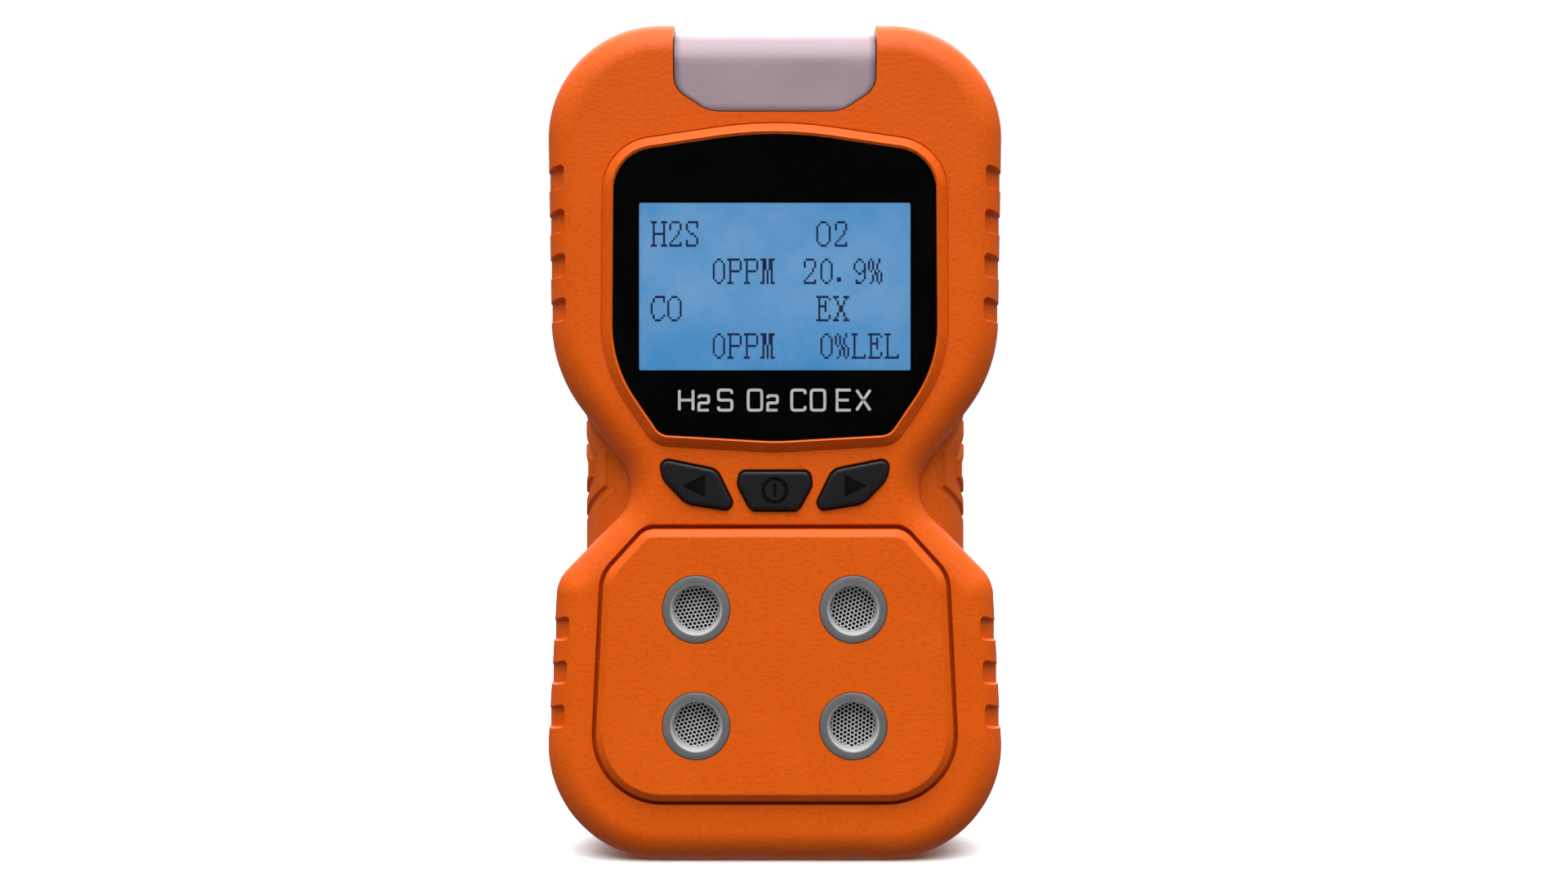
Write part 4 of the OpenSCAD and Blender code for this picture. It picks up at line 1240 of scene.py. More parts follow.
        carve(piece, joined([rod(at, 2.6, -9, 0.5, 20) for at in self.screw_places]))
        carve(piece, self.notches(face))
        carve(piece, plate(OUTLINES.alarm.inset(-self.opening_gap), face - 2, 8))
        self.palette.cover.dress(smooth(piece), Body.HOUSING, "front_cover")

    def rear(self) -> None:
        """The rear cover: a shell with screw wells, sound holes, the label's recess and the port's well."""
        face, inner = LEVELS.rear, LEVELS.rear - self.wall
        piece = self.half(face, LEVELS.seam).made("cover_rear")
        carve(piece, plate(OUTLINES.body.inset(self.wall), -1, inner))
        posts = [rod(at, 7, LEVELS.seam + 0.02, inner + 0.2) for at in self.screw_places]
        posts += [rod(at, 5, inner - 6, inner + 0.2) for at in self.clip_places]
        posts.append(rod(self.buzzer_place, 17, inner - 2, inner + 0.2))
        posts.append(block((-12, 12), (inner - 1, inner + 0.2), (4.6, 20)))
        carve(piece, joined(posts), "UNION")
        cx, cz = self.buzzer_place
        a = np.arange(6) * math.pi / 3
        around = [(cx + 4 * math.cos(t), cz + 4 * math.sin(t)) for t in a]
        cuts = [self.well(at, 1.5, inner - 2.5, face, 0.2, 24) for at in [self.buzzer_place, *around]]
        cuts += [self.well(at, 5.6, face - 2.8, face, 0.35, 48) for at in self.screw_places]
        carve(piece, joined(cuts))
        cuts = [rod(at, 3, -0.5, face - 2.7, 24) for at in self.screw_places]
        cuts += [rod(at, 2.1, inner - 5, face + 1, 24) for at in self.clip_places]
        carve(piece, joined(cuts))
        label = Outline.box(40.4, 25.8, 46.2, 1.5)
        carve(piece, loft([(label, face - 0.2), (label, face - 0.06), (label.inset(-0.15), face + 1)]))
        carve(piece, self.port_well(face, inner))
        carve(piece, self.notches(face))
        carve(piece, plate(OUTLINES.alarm.inset(-self.opening_gap), -8, 8 + self.opening_gap))
        self.palette.cover.dress(smooth(piece), Body.HOUSING, "rear_cover")

    def well(self, at: Place, diameter: float, y0: float, face: float, flare: float, steps: int) -> Shape:
        """A round hole from y0 out through the rear face, with a chamfered mouth."""
        circle = Outline.circle(at, diameter, steps)
        mouth = circle.inset(-flare)
        return loft([(circle, y0), (circle, face - flare), (mouth, face), (mouth, face + 1)])

    def port_well(self, face: float, inner: float) -> Shape:
        """The hollow that the port's cover lies in, the socket's opening and the hinge's trough.

        Args:
            face: Y of the outer face.
            inner: Y of the inner face.

        Returns:
            The three cutters as one closed shape.
        """
        axis = joint_place("port_cover_hinge")
        low, high = extent("charging_socket")
        middle = float(low[2] + high[2]) / 2
        hollow = Outline.box(20, middle - 5.7, float(axis[2]) + 1.4, 0.6)
        mouth = hollow.inset(-0.2)
        well = loft([(hollow, face - 1.6), (hollow, face - 0.2), (mouth, face), (mouth, face + 1)])
        socket = Outline.box(9.8, middle - 1.9, middle + 1.9, 0.4)
        trough = Outline.box(19.98, float(axis[2]) - 1.4, float(axis[2]) + 1.38, 0.3)
        base = well.made("well")
        carve(base, plate(socket, inner - 2, face - 1.0), "UNION")
        carve(base, plate(trough, face - 2.2, face - 1.2), "UNION")
        mesh = base.data
        points = np.zeros(len(mesh.vertices) * 3, np.float32)
        mesh.vertices.foreach_get("co", points)
        shape = Shape(points.reshape(-1, 3) / MM, [list(p.vertices) for p in mesh.polygons])
        bpy.data.objects.remove(base)
        return shape

    def build(self) -> None:
        """Both covers and the small pieces that hold them together."""
        self.front()
        self.rear()
        self.palette.seal.dress_node("housing_seal")
        screws = softened("housing_screws", "cover_screws", 0.12)
        self.palette.screw.dress(screws, Body.HOUSING, "housing_screws")


@dataclass
class SideGrips:
    """The soft grips in the waist, with their nested grooves."""

    palette: Palette
    radius: float = 10.0
    groove_depth: float = 0.5
    wall_width: float = 0.5
    middle_rise: float = 2.0
    bands: tuple[Place, ...] = ((8.75, 10.3), (4.5, 6.5), (-1.0, 2.8))
    tip: float = 0.89
    shoulder: float = 0.31
    rows: int = 300
    columns: int = 220

    def groove(self, s: np.ndarray, z: np.ndarray) -> np.ndarray:
        """Depth of the grooves at arc distance s from the grip's middle line and height z.

        The six-sided rings are level lines of rho = max(s, (z + (tip - shoulder) s) / tip).
        Each band is a smooth step in at its first reach and out at its second.
        """
        rho = np.maximum(s, (z + (self.tip - self.shoulder) * s) / self.tip)
        total = np.zeros_like(rho)
        for low, high in self.bands:
            up = np.clip((rho - low) / self.wall_width + 0.5, 0, 1)
            down = np.clip((high - rho) / self.wall_width + 0.5, 0, 1)
            share = np.minimum(up, down)
            total = np.maximum(total, share * share * (3 - 2 * share))
        return total * self.groove_depth

    def shape(self) -> Shape:
        """The right grip: a half cylinder, as a grid of angle and height, closed at its flat side."""
        low, high = extent("side_grip_right")
        outer = float(high[0])
        z0, z1 = float(low[2]), float(high[2])
        angle = np.linspace(-math.pi / 2, math.pi / 2, self.columns)
        z = np.linspace(z0, z1, self.rows)[:, None]
        middle = (z0 + z1) / 2 + self.middle_rise
        r = self.radius - self.groove(np.abs(angle) * self.radius, np.abs(z - middle))
        x = outer - self.radius + r * np.cos(angle)
        y = r * np.sin(angle)
        zs = np.broadcast_to(z, x.shape)
        points = np.stack([x, y, zs], -1).reshape(-1, 3)
        n = self.columns
        last = (self.rows - 1) * n
        caps = [list(range(n)), list(range(last + n - 1, last - 1, -1))]
        return Shape(points, quads(self.rows, n).tolist() + caps)

    def build(self) -> None:
        """Both grips, each cut to the covers' outline."""
        for side in Side:
            name = side.name.lower()
            shape = self.shape() if side is Side.RIGHT else self.shape().mirrored()
            piece = shape.made(f"grip_{name}")
            carve(piece, plate(OUTLINES.body.inset(-0.05), -20, 20))
            self.palette.grip.dress(smooth(piece, 50), Body.HOUSING, f"side_grip_{name}")


# ---- Display ----


# Characters eleven dots high; a slash starts the next row down
DOT_FONT = {
    "0": "...##/..#..#/.#....#/.#....#/.#....#/.#....#/.#....#/.#....#/.#....#/..#..#/...##",
    "2": "..####/.#....#/.#....#/.#....#/.....#/.....#/....#/...#/..#/.#....#/.######",
    "9": "...##/..#..#/.#....#/.#....#/.#....#/..#..##/...##.#/......#/......#/..#..#/..###",
    ".": "////////.##/.##",
    "%": ".#...#/#.#..#/#.#.#/#.#.#/#.#.#/.#.#.#/...##.#/..#.#.#/..#.#.#/..#.#.#/.#...#",
    "C": "..#####/.#....#/.#....#/#/#/#/#/#/.#....#/.#...#/..###",
    "E": "######/.#....#/.#..#/.#..#/.####/.#..#/.#..#/.#/.#....#/.#....#/######",
    "H": "###..###/.#....#/.#....#/.#....#/.#....#/.######/.#....#/.#....#/.#....#/.#....#/###..###",
    "L": "###/.#/.#/.#/.#/.#/.#/.#/.#/.#....#/#######",
    "M": "###.###/.##.##/.##.##/.##.##/.##.##/.#.#.#/.#.#.#/.#.#.#/.#.#.#/.#.#.#/##.#.##",
    "O": "..###/.#...#/#.....#/#.....#/#.....#/#.....#/#.....#/#.....#/#.....#/.#...#/..###",
    "P": "######/.#....#/.#....#/.#....#/.#....#/.#####/.#/.#/.#/.#/###",
    "S": "..#####/.#....#/.#....#/.#/..#/...##/.....#/......#/.#....#/.#....#/.#####",
    "X": "###..###/.#....#/..#..#/..#..#/...##/...##/...##/..#..#/..#..#/.#....#/###..###",
}

# Lines of the printed signs, drawn with a pen on a cell one wide and one high
PEN_FONT = {
    "H": [[(0, 0), (0, 1)], [(1, 0), (1, 1)], [(0, 0.5), (1, 0.5)]],
    "E": [[(1, 0), (0, 0), (0, 1), (1, 1)], [(0, 0.5), (0.85, 0.5)]],
    "X": [[(0, 0), (1, 1)], [(1, 0), (0, 1)]],
    "C": [[(1, 0.2), (0.97, 0.05), (0.85, 0), (0.15, 0), (0.03, 0.05), (0, 0.2), (0, 0.8), (0.03, 0.95),
           (0.15, 1), (0.85, 1), (0.97, 0.95), (1, 0.8)]],
    "O": [[(0.5, 0), (0.15, 0), (0.03, 0.05), (0, 0.2), (0, 0.8), (0.03, 0.95), (0.15, 1), (0.85, 1),
           (0.97, 0.95), (1, 0.8), (1, 0.2), (0.97, 0.05), (0.85, 0), (0.5, 0)]],
    "S": [[(0, 0.18), (0.03, 0.05), (0.15, 0), (0.85, 0), (0.97, 0.05), (1, 0.18), (1, 0.34), (0.97, 0.46),
           (0.85, 0.5), (0.15, 0.5), (0.03, 0.54), (0, 0.66), (0, 0.82), (0.03, 0.95), (0.15, 1), (0.85, 1),
           (0.97, 0.95), (1, 0.82)]],
    "2": [[(0, 0.82), (0.03, 0.95), (0.15, 1), (0.85, 1), (0.97, 0.95), (1, 0.82), (1, 0.66), (0.97, 0.54),
           (0.85, 0.5), (0.15, 0.5), (0.03, 0.46), (0, 0.34), (0, 0), (1, 0)]],
}


@dataclass
class Display:
    """The window, its printed mask and signs, and the liquid crystal with its readings."""

    palette: Palette
    dot: Place = (0.32, 0.361)
    dot_share: float = 1.0
    lines: tuple[tuple[str, float, int], ...] = (
        ("H2S", 0, 0), ("O2", 80, 0), ("0PPM", 29, 1), ("20.9%", 73, 1),
        ("CO", 0, 2), ("EX", 80, 2), ("0PPM", 29, 3), ("0%LEL", 81, 3),
    )
    row_dots: int = 16
    first_row: float = 2.7
    left_margin: float = 1.7
    view: Place = (41.8, 25.8)
    signs: tuple[tuple[str, float], ...] = (("H2S", -14.7), ("O2", -4.1), ("CO", 2.6), ("EX", 9.6))
    sign_base: float = 69.95
    sign_size: Place = (2.1, 3.1)
    sign_pitch: float = 3.0
    pen: float = 0.42

    @property
    def middle(self) -> float:
        """Height of the middle of the liquid crystal."""
        low, high = extent("lcd_panel")
        return float(low[2] + high[2]) / 2

    def window(self) -> None:
        """The clear window, with a softened front edge and a polished rear one."""
        front, back = LEVELS.lens, LEVELS.mask
        lens = OUTLINES.lens
        shape = loft([
            (lens.inset(0.42), front), (lens.inset(0.22), front + 0.03), (lens.inset(0.08), front + 0.12),
            (lens.inset(0.02), front + 0.28), (lens.inset(0.02), back - 0.08), (lens.inset(0.08), back),
        ])
        self.palette.glass.dress(smooth(shape.made("window_clear"), 4), Body.HOUSING, "display_window")

    def mask(self) -> None:
        """The black print behind the window, open over the liquid crystal."""
        y0, y1 = LEVELS.mask + 0.01, LEVELS.gasket
        piece = plate(OUTLINES.lens.inset(0.02), y0, y1).made("window_mask")
        view = Outline.box(self.view[0], self.middle - self.view[1] / 2, self.middle + self.view[1] / 2, 0.3)
        carve(piece, loft([(view, y0 - 1), (view, y0 + 0.02), (view.inset(-0.06), y1 + 1)]))
        self.palette.mask.dress(smooth(piece), Body.HOUSING, "display_mask")

    def crystal(self) -> None:
        """The liquid crystal's glass: two sheets with a small step where the rear one is larger."""
        low, high = extent("lcd_panel")
        y0, y1 = float(low[1]), float(high[1])
        whole = Outline.box(float(high[0] - low[0]), float(low[2]), float(high[2]), 0.9)
        upper = whole.inset(0.35)
        shape = loft([
            (upper.inset(0.08), y0), (upper, y0 + 0.08), (upper, y0 + 0.95), (whole, y0 + 0.96), (whole, y1)
        ])
        self.palette.crystal.dress(smooth(shape.made("crystal_glass"), 4), Body.HOUSING, "lcd_panel")

    def readings(self) -> None:
        """The dots that are switched on, each a small raised square on the crystal's face.

        A character's dot in column c and row r stands c dots right of its start and r dots
        below its line's top; all the dots' four corners are worked out at once.
        """
        places = []
        for text, start, row in self.lines:
            for i, character in enumerate(text):
                left, top = start + 8 * i, row * self.row_dots
                for r, dots in enumerate(DOT_FONT[character].split("/")):
                    places += [(left + c, top + r) for c, dot in enumerate(dots) if dot == "#"]
        grid = np.array(places, float)
        x = -self.view[0] / 2 + self.left_margin + (grid[:, 0] + 0.5) * self.dot[0]
        z = self.middle + self.view[1] / 2 - self.first_row - (grid[:, 1] + 0.5) * self.dot[1]
        half = np.array(self.dot) * self.dot_share / 2
        y1 = LEVELS.crystal - 0.004
        y0 = y1 - 0.025
        ring = [(-1, -1), (1, -1), (1, 1), (-1, 1)]
        square = np.array([(u, y, v) for y in (y0, y1) for u, v in ring]) * [half[0], 1, half[1]]
        points = (square[None] + np.stack([x, np.zeros_like(x), z], 1)[:, None]).reshape(-1, 3)
        sides = np.array([(0, 1, 2, 3), (7, 6, 5, 4), (0, 4, 5, 1), (1, 5, 6, 2), (2, 6, 7, 3), (3, 7, 4, 0)])
        faces = (sides[None] + 8 * np.arange(len(x))[:, None, None]).reshape(-1, 4)
        piece = Shape(points, faces.tolist()).made("crystal_readings", outwards=False)
        self.palette.dots.dress(piece, Body.HOUSING)

    def gas_signs(self) -> None:
        """The gases' symbols in grey ink on the mask, below the liquid crystal."""
        y1 = LEVELS.mask + 0.009
        w, h = self.sign_size
        strokes = []
        for text, start in self.signs:
            for i, character in enumerate(text):
                small = 0.72 if character == "2" else 1.0
                x0 = start + i * self.sign_pitch
                for line in PEN_FONT[character]:
                    path = [(x0 + u * w * small, self.sign_base + v * h * small) for u, v in line]
                    strokes.append(stroke(path, self.pen, y1 - 0.008, y1))
        piece = joined(strokes).made("gas_signs")
        self.palette.print_grey.dress(piece, Body.HOUSING)

    def build(self) -> None:
        """All of the display."""
        self.window()
        self.mask()
        self.crystal()
        self.readings()
        self.gas_signs()
        self.palette.seal.dress_node("display_gasket")
        self.palette.diffuser.dress_node("lcd_backlight")
        self.palette.black.dress_node("lcd_holder")
        self.palette.flex.dress_node("lcd_flex")


# ---- Keys ----


@dataclass
class Keys:
    """The three keys, each with its sunk mark, stem and switch plunger."""

    palette: Palette
    round_r: float = 0.38
    dome: float = 0.1
    mark_depth: float = 0.25
    flange: float = 0.55
    stem_gap: float = 0.08

    def cap(self, outline: Outline, node: str, stem: Place) -> Object:
        """A key's cap: rounded along its top edge, with a slight crown, a flange and a stem.

        The edge is a quarter circle, as on the covers; inside it, the middle of the face stands half the
        dome's height in front of where the rounding starts.

        Args:
            outline: Outline of the cap.
            node: The frame node that gives its depths.
            stem: X and Z of the stem.

        Returns:
            The cap, not yet dressed.
        """
        low, high = extent(node)
        y0, y1 = float(low[1]), float(high[1])
        flange_y = LEVELS.front + 2.7
        t = np.linspace(0.15, math.pi / 2, 7)
        edge = self.round_r
        rings = [(outline.inset(edge + 0.25), y0)]
        crown = y0 + self.dome * 0.5
        rings += [(outline.inset(edge * (1 - math.sin(a))), crown + edge * (1 - math.cos(a))) for a in t]
        rings += [(outline, flange_y), (outline.inset(-self.flange), flange_y + 0.02)]
        rings += [(outline.inset(-self.flange), flange_y + 0.7)]
        piece = loft(rings).made(node.replace("button", "key"))
        carve(piece, rod(stem, 2.4, flange_y + 0.6, y1 - self.stem_gap), "UNION")
        return piece

    def arrow(self, side: Side, body: Body) -> None:
        """An arrow key and its mark."""
        name = side.name.lower()
        sign = side.value
        outline = OUTLINES.arrow if side is Side.RIGHT else OUTLINES.arrow.mirrored()
        low, high = extent(f"switch_plunger_{name}")
        stem = (float(low[0] + high[0]) / 2, float(low[2] + high[2]) / 2)
        tip, back, rise = stem[0] + 2.2 * sign, stem[0] - 1.3 * sign, 1.75 * sign
        corners = [(tip, stem[1], 0.08), (back, stem[1] + rise, 0.08), (back, stem[1] - rise, 0.08)]
        mark = Outline.rounded(corners, 20)
        piece = self.cap(outline, f"button_{name}", stem)
        top = float(extent(f"button_{name}")[0][1])
        carve(piece, plate(mark, top - 1, top + self.mark_depth))
        self.palette.key.dress(smooth(piece), body, f"button_{name}")
        inlay = plate(mark.inset(0.04), top + self.mark_depth - 0.1, top + self.mark_depth + 0.02)
        self.palette.key_mark.dress(smooth(inlay.made(f"key_mark_{name}")), body)

    def power(self) -> None:
        """The middle key with its ring and bar mark."""
        low, high = extent("switch_plunger_power")
        stem = (float(low[0] + high[0]) / 2, float(low[2] + high[2]) / 2)
        piece = self.cap(OUTLINES.power, "button_power", stem)
        top = float(extent("button_power")[0][1])
        floor = top + self.mark_depth
        carve(piece, self.power_sign(stem, 0.0, 0.0, top - 1, floor))
        self.palette.key.dress(smooth(piece), Body.KEY_POWER, "button_power")
        sign = self.power_sign(stem, 0.03, 0.02, floor - 0.1, floor + 0.02)
        self.palette.key_mark.dress(smooth(sign.made("key_mark_power")), Body.KEY_POWER)

    @staticmethod
    def power_sign(stem: Place, gap: float, soft: float, y0: float, y1: float) -> Shape:
        """A ring about the stem with an upright bar in it.

        Args:
            stem: X and Z of the stem.
            gap: How much smaller the sign is on every side.
            soft: How much smaller the bar's corner radius is.
            y0: Front of the sign.
            y1: Back of the sign.

        Returns:
            The closed shape.
        """
        inner, outer = 1.5 + gap, 2.08 - gap
        ring = turned([(inner, y0), (outer, y0), (outer, y1), (inner, y1)], stem, 64)
        w, low, high, r = 0.26 - gap, stem[1] - 1.05 + gap, stem[1] + 1.05 - gap, 0.2 - soft
        bar_outline = Outline.rounded([(-w, low, r), (w, low, r), (w, high, r), (-w, high, r)], 30)
        return ring + plate(bar_outline, y0, y1)

    def build(self) -> None:
        """The keys and the switches behind them."""
        self.arrow(Side.LEFT, Body.KEY_LEFT)
        self.arrow(Side.RIGHT, Body.KEY_RIGHT)
        self.power()
        plungers = [f"switch_plunger_{name}" for name in ("left", "power", "right")]
        self.palette.diffuser.dress_node(*plungers)
        self.palette.steel.dress_node("tactile_switches")
        self.palette.black.dress_node("keypad_retainer")


# ---- Sensors ----


@dataclass
class SensorFace:
    """The raised panel with its four ports."""

    palette: Palette
    ring_d: float = 10.35
    mouth_d: float = 7.6
    throat_d: float = 6.75
    pitch: float = 0.655
    hole_share: float = 0.82
    hole_sides: int = 12
    sheet: float = 0.2
    turns: tuple[float, ...] = (8.0, 20.0, 14.0, 27.0)

    def panel(self) -> None:
        """The panel: a chamfered plate with four round seats."""
        outline = OUTLINES.panel
        front = LEVELS.panel
        steps = [(1.6, 0.0), (1.42, 0.02), (1.27, 0.1), (0.4, 0.86), (0.3, 0.98), (0.25, 1.15)]
        rings = [(outline.inset(d), front + y) for d, y in steps]
        rings.append((outline.inset(0.25), LEVELS.panel_floor))
        piece = loft(rings).made("panel_raised")
        seats = []
        for gas in PORTS:
            seat = Outline.circle(port_place(gas), self.ring_d + 0.06, 96)
            seats.append(loft([
                (seat.inset(-0.14), front - 1), (seat.inset(-0.14), front - 0.001),
                (seat.inset(-0.04), front + 0.05), (seat, front + 0.16), (seat, LEVELS.panel_floor + 1),
            ]))
        carve(piece, joined(seats))
        self.palette.panel.dress(smooth(piece), Body.HOUSING, "sensor_panel")

    def ring(self, gas: str) -> None:
        """A port's ring: a flat face that rolls over into a cone down to the screen."""
        low, high = extent(f"sensor_ring_{gas}")
        y0, y1 = float(low[1]), float(high[1])
        outer, mouth, throat = self.ring_d / 2 - 0.01, self.mouth_d / 2, self.throat_d / 2
        screen_y = float(extent(f"sensor_screen_{gas}")[0][1])
        a = np.linspace(0, math.radians(78), 7)
        roll_r = 0.42
        roll = [(mouth + roll_r * (0.75 - math.sin(t)), y0 + roll_r * (1 - math.cos(t))) for t in a]
        profile = [(outer, y1), (outer, y0 + 0.14), (outer - 0.05, y0 + 0.04), (outer - 0.14, y0), *roll,
                   (throat + 0.1, screen_y - 0.25), (throat, screen_y - 0.02),
                   (throat + 0.7, screen_y - 0.005), (throat + 0.7, y1)]
        piece = turned(profile, port_place(gas), 96).made(f"port_ring_{gas}")
        radii = np.tile(np.array(profile)[:, 0], 96)
        # The finish paints the points near the mouth lighter: a painted highlight on the roll and cone.
        paint_points(piece, "edge", np.clip(radii - mouth, 0, 1))
        self.palette.ring.dress(smooth(piece, 40), Body.HOUSING, f"sensor_ring_{gas}")

    def screen(self, gas: str, turn: float) -> None:
        """A port's screen: a sheet with a honeycomb of round holes.

        Each cell is a hexagon with a round hole; the ring between them is one row of faces.
        Cells stand at pitch (i + j / 2, j sin 60) and share their edges, and the sheet gets
        its thickness once they are merged.

        Args:
            gas: Name of the port.
            turn: Turn of the honeycomb, in degrees.
        """
        low, _ = extent(f"sensor_screen_{gas}")
        n = self.hole_sides
        corner = np.arange(6) * math.pi / 3 + math.pi / 6
        hexagon = np.stack([np.cos(corner), np.sin(corner)], 1) * self.pitch / math.sqrt(3)
        middles = (hexagon + np.roll(hexagon, -1, 0)) / 2
        outer = np.stack([hexagon, middles], 1).reshape(-1, 2)
        inner_a = np.arctan2(outer[:, 1], outer[:, 0])
        inner = np.stack([np.cos(inner_a), np.sin(inner_a)], 1) * self.pitch * self.hole_share / 2
        reach = int(self.throat_d / self.pitch)
        i, j = np.meshgrid(np.arange(-reach, reach + 1), np.arange(-reach, reach + 1))
        centres = np.stack([i + j / 2, j * math.sin(math.radians(60))], -1).reshape(-1, 2) * self.pitch
        centres = centres[np.linalg.norm(centres, axis=1) < self.throat_d / 2 + 0.3]
        c, s = math.cos(math.radians(turn)), math.sin(math.radians(turn))
        rotate = np.array([[c, s], [-s, c]])
        cell = np.concatenate([outer, inner])
        flat = ((centres[:, None] + cell[None]).reshape(-1, 2)) @ rotate + np.array(port_place(gas))
        points = np.insert(flat, 1, float(low[1]), axis=1)
        k = np.arange(n)
        ring = np.stack([k, (k + 1) % n, n + (k + 1) % n, n + k], 1)
        faces = (ring[None] + 2 * n * np.arange(len(centres))[:, None, None]).reshape(-1, 4)
        piece = Shape(points, faces.tolist()).made(f"port_screen_{gas}", outwards=False)
        work = bmesh.new()
        work.from_mesh(piece.data)
        bmesh.ops.remove_doubles(work, verts=work.verts, dist=4e-6)
        work.to_mesh(piece.data)
        work.free()
        thick = piece.modifiers.new("sheet", "SOLIDIFY")
        thick.thickness = self.sheet * MM
        thick.offset = -1.0
        thick.use_even_offset = False
        settle(piece)
        self.palette.screen.dress(smooth(piece, 50), Body.HOUSING, f"sensor_screen_{gas}")

    def build(self) -> None:
        """The panel, the ports and what lies behind them."""
        self.panel()
        for gas, turn in zip(PORTS, self.turns):
            self.ring(gas)
            self.screen(gas, turn)
        self.palette.filter.dress_node("dust_filters")
        self.palette.seal.dress_node("sensor_gasket")
        self.palette.can.dress_node("sensor_h2s", "sensor_o2", "sensor_co")
        self.palette.can_steel.dress_node("sensor_ex")
        self.palette.board.dress_node("sensor_board")
        self.palette.screw.dress_node("panel_screws")
        self.palette.flex.dress_node("link_flex")


# ---- Alarm light ----


@dataclass
class AlarmLight:
    """The bent window over the alarm lights at the top."""

    palette: Palette
    thickness: float = 2.0
    bend: float = 5.0
    across: int = 72

    def profile(self) -> np.ndarray:
        """Points (y, z) up the front, round the bend and back along the top."""
        low, high = extent("alarm_window")
        front, top, back = float(low[1]), float(high[2]), float(high[1])
        bottom = float(OUTLINES.alarm.points[:, 1].min())
        ease = np.linspace(0, 1, 26) ** 1.4
        up = np.stack([np.full(26, front), bottom + (top - self.bend - bottom) * ease], 1)
        a = np.linspace(0, math.pi / 2, 15)[1:]
        turn = np.stack([front + self.bend * (1 - np.cos(a)), top - self.bend * (1 - np.sin(a))], 1)
        over = np.stack([np.linspace(front + self.bend, back, 14)[1:], np.full(13, top)], 1)
        return np.concatenate([up, turn, over])

    def build(self) -> None:
        """The window, as a sheet over profile and width that is then given its thickness.

        Point (i, j) has profile point i's Y and Z, and X runs from minus to plus the half
        width of the opening's outline at that height, crowded towards the sides.
        """
        path = self.profile()
        half = OUTLINES.alarm.half_width(path[:, 1])
        half[0] = OUTLINES.alarm.half_width(np.array([path[0, 1] + 0.02]))[0]
        u = np.sin(np.linspace(-1, 1, self.across) * math.pi / 2)
        x = half[:, None] * u
        y = np.broadcast_to(path[:, :1], x.shape)
        z = np.broadcast_to(path[:, 1:], x.shape)
        points = np.stack([x, y, z], -1).reshape(-1, 3)
        faces = quads(len(path), self.across, around=False)[:, ::-1]
        piece = Shape(points, faces.tolist()).made("alarm_window_bent", outwards=False)
        low = path[0, 1]
        edge = np.minimum(half[:, None] - np.abs(x), np.hypot(z - low, y - path[0, 0]))
        back = path[-1, 0] - y
        edge = np.minimum(edge, np.where(z > path[-1, 1] - 0.01, back, edge))
        paint_points(piece, "edge", np.clip(edge, 0, 5).ravel())
        thick = piece.modifiers.new("sheet", "SOLIDIFY")
        thick.thickness = self.thickness * MM
        thick.offset = -1.0
        bevelled(piece, 0.28, 3, 50)
        settle(piece)
        self.palette.window.dress(smooth(piece, 40), Body.HOUSING, "alarm_window")
        self.palette.led.dress_node("alarm_leds")


# ---- Belt clip ----


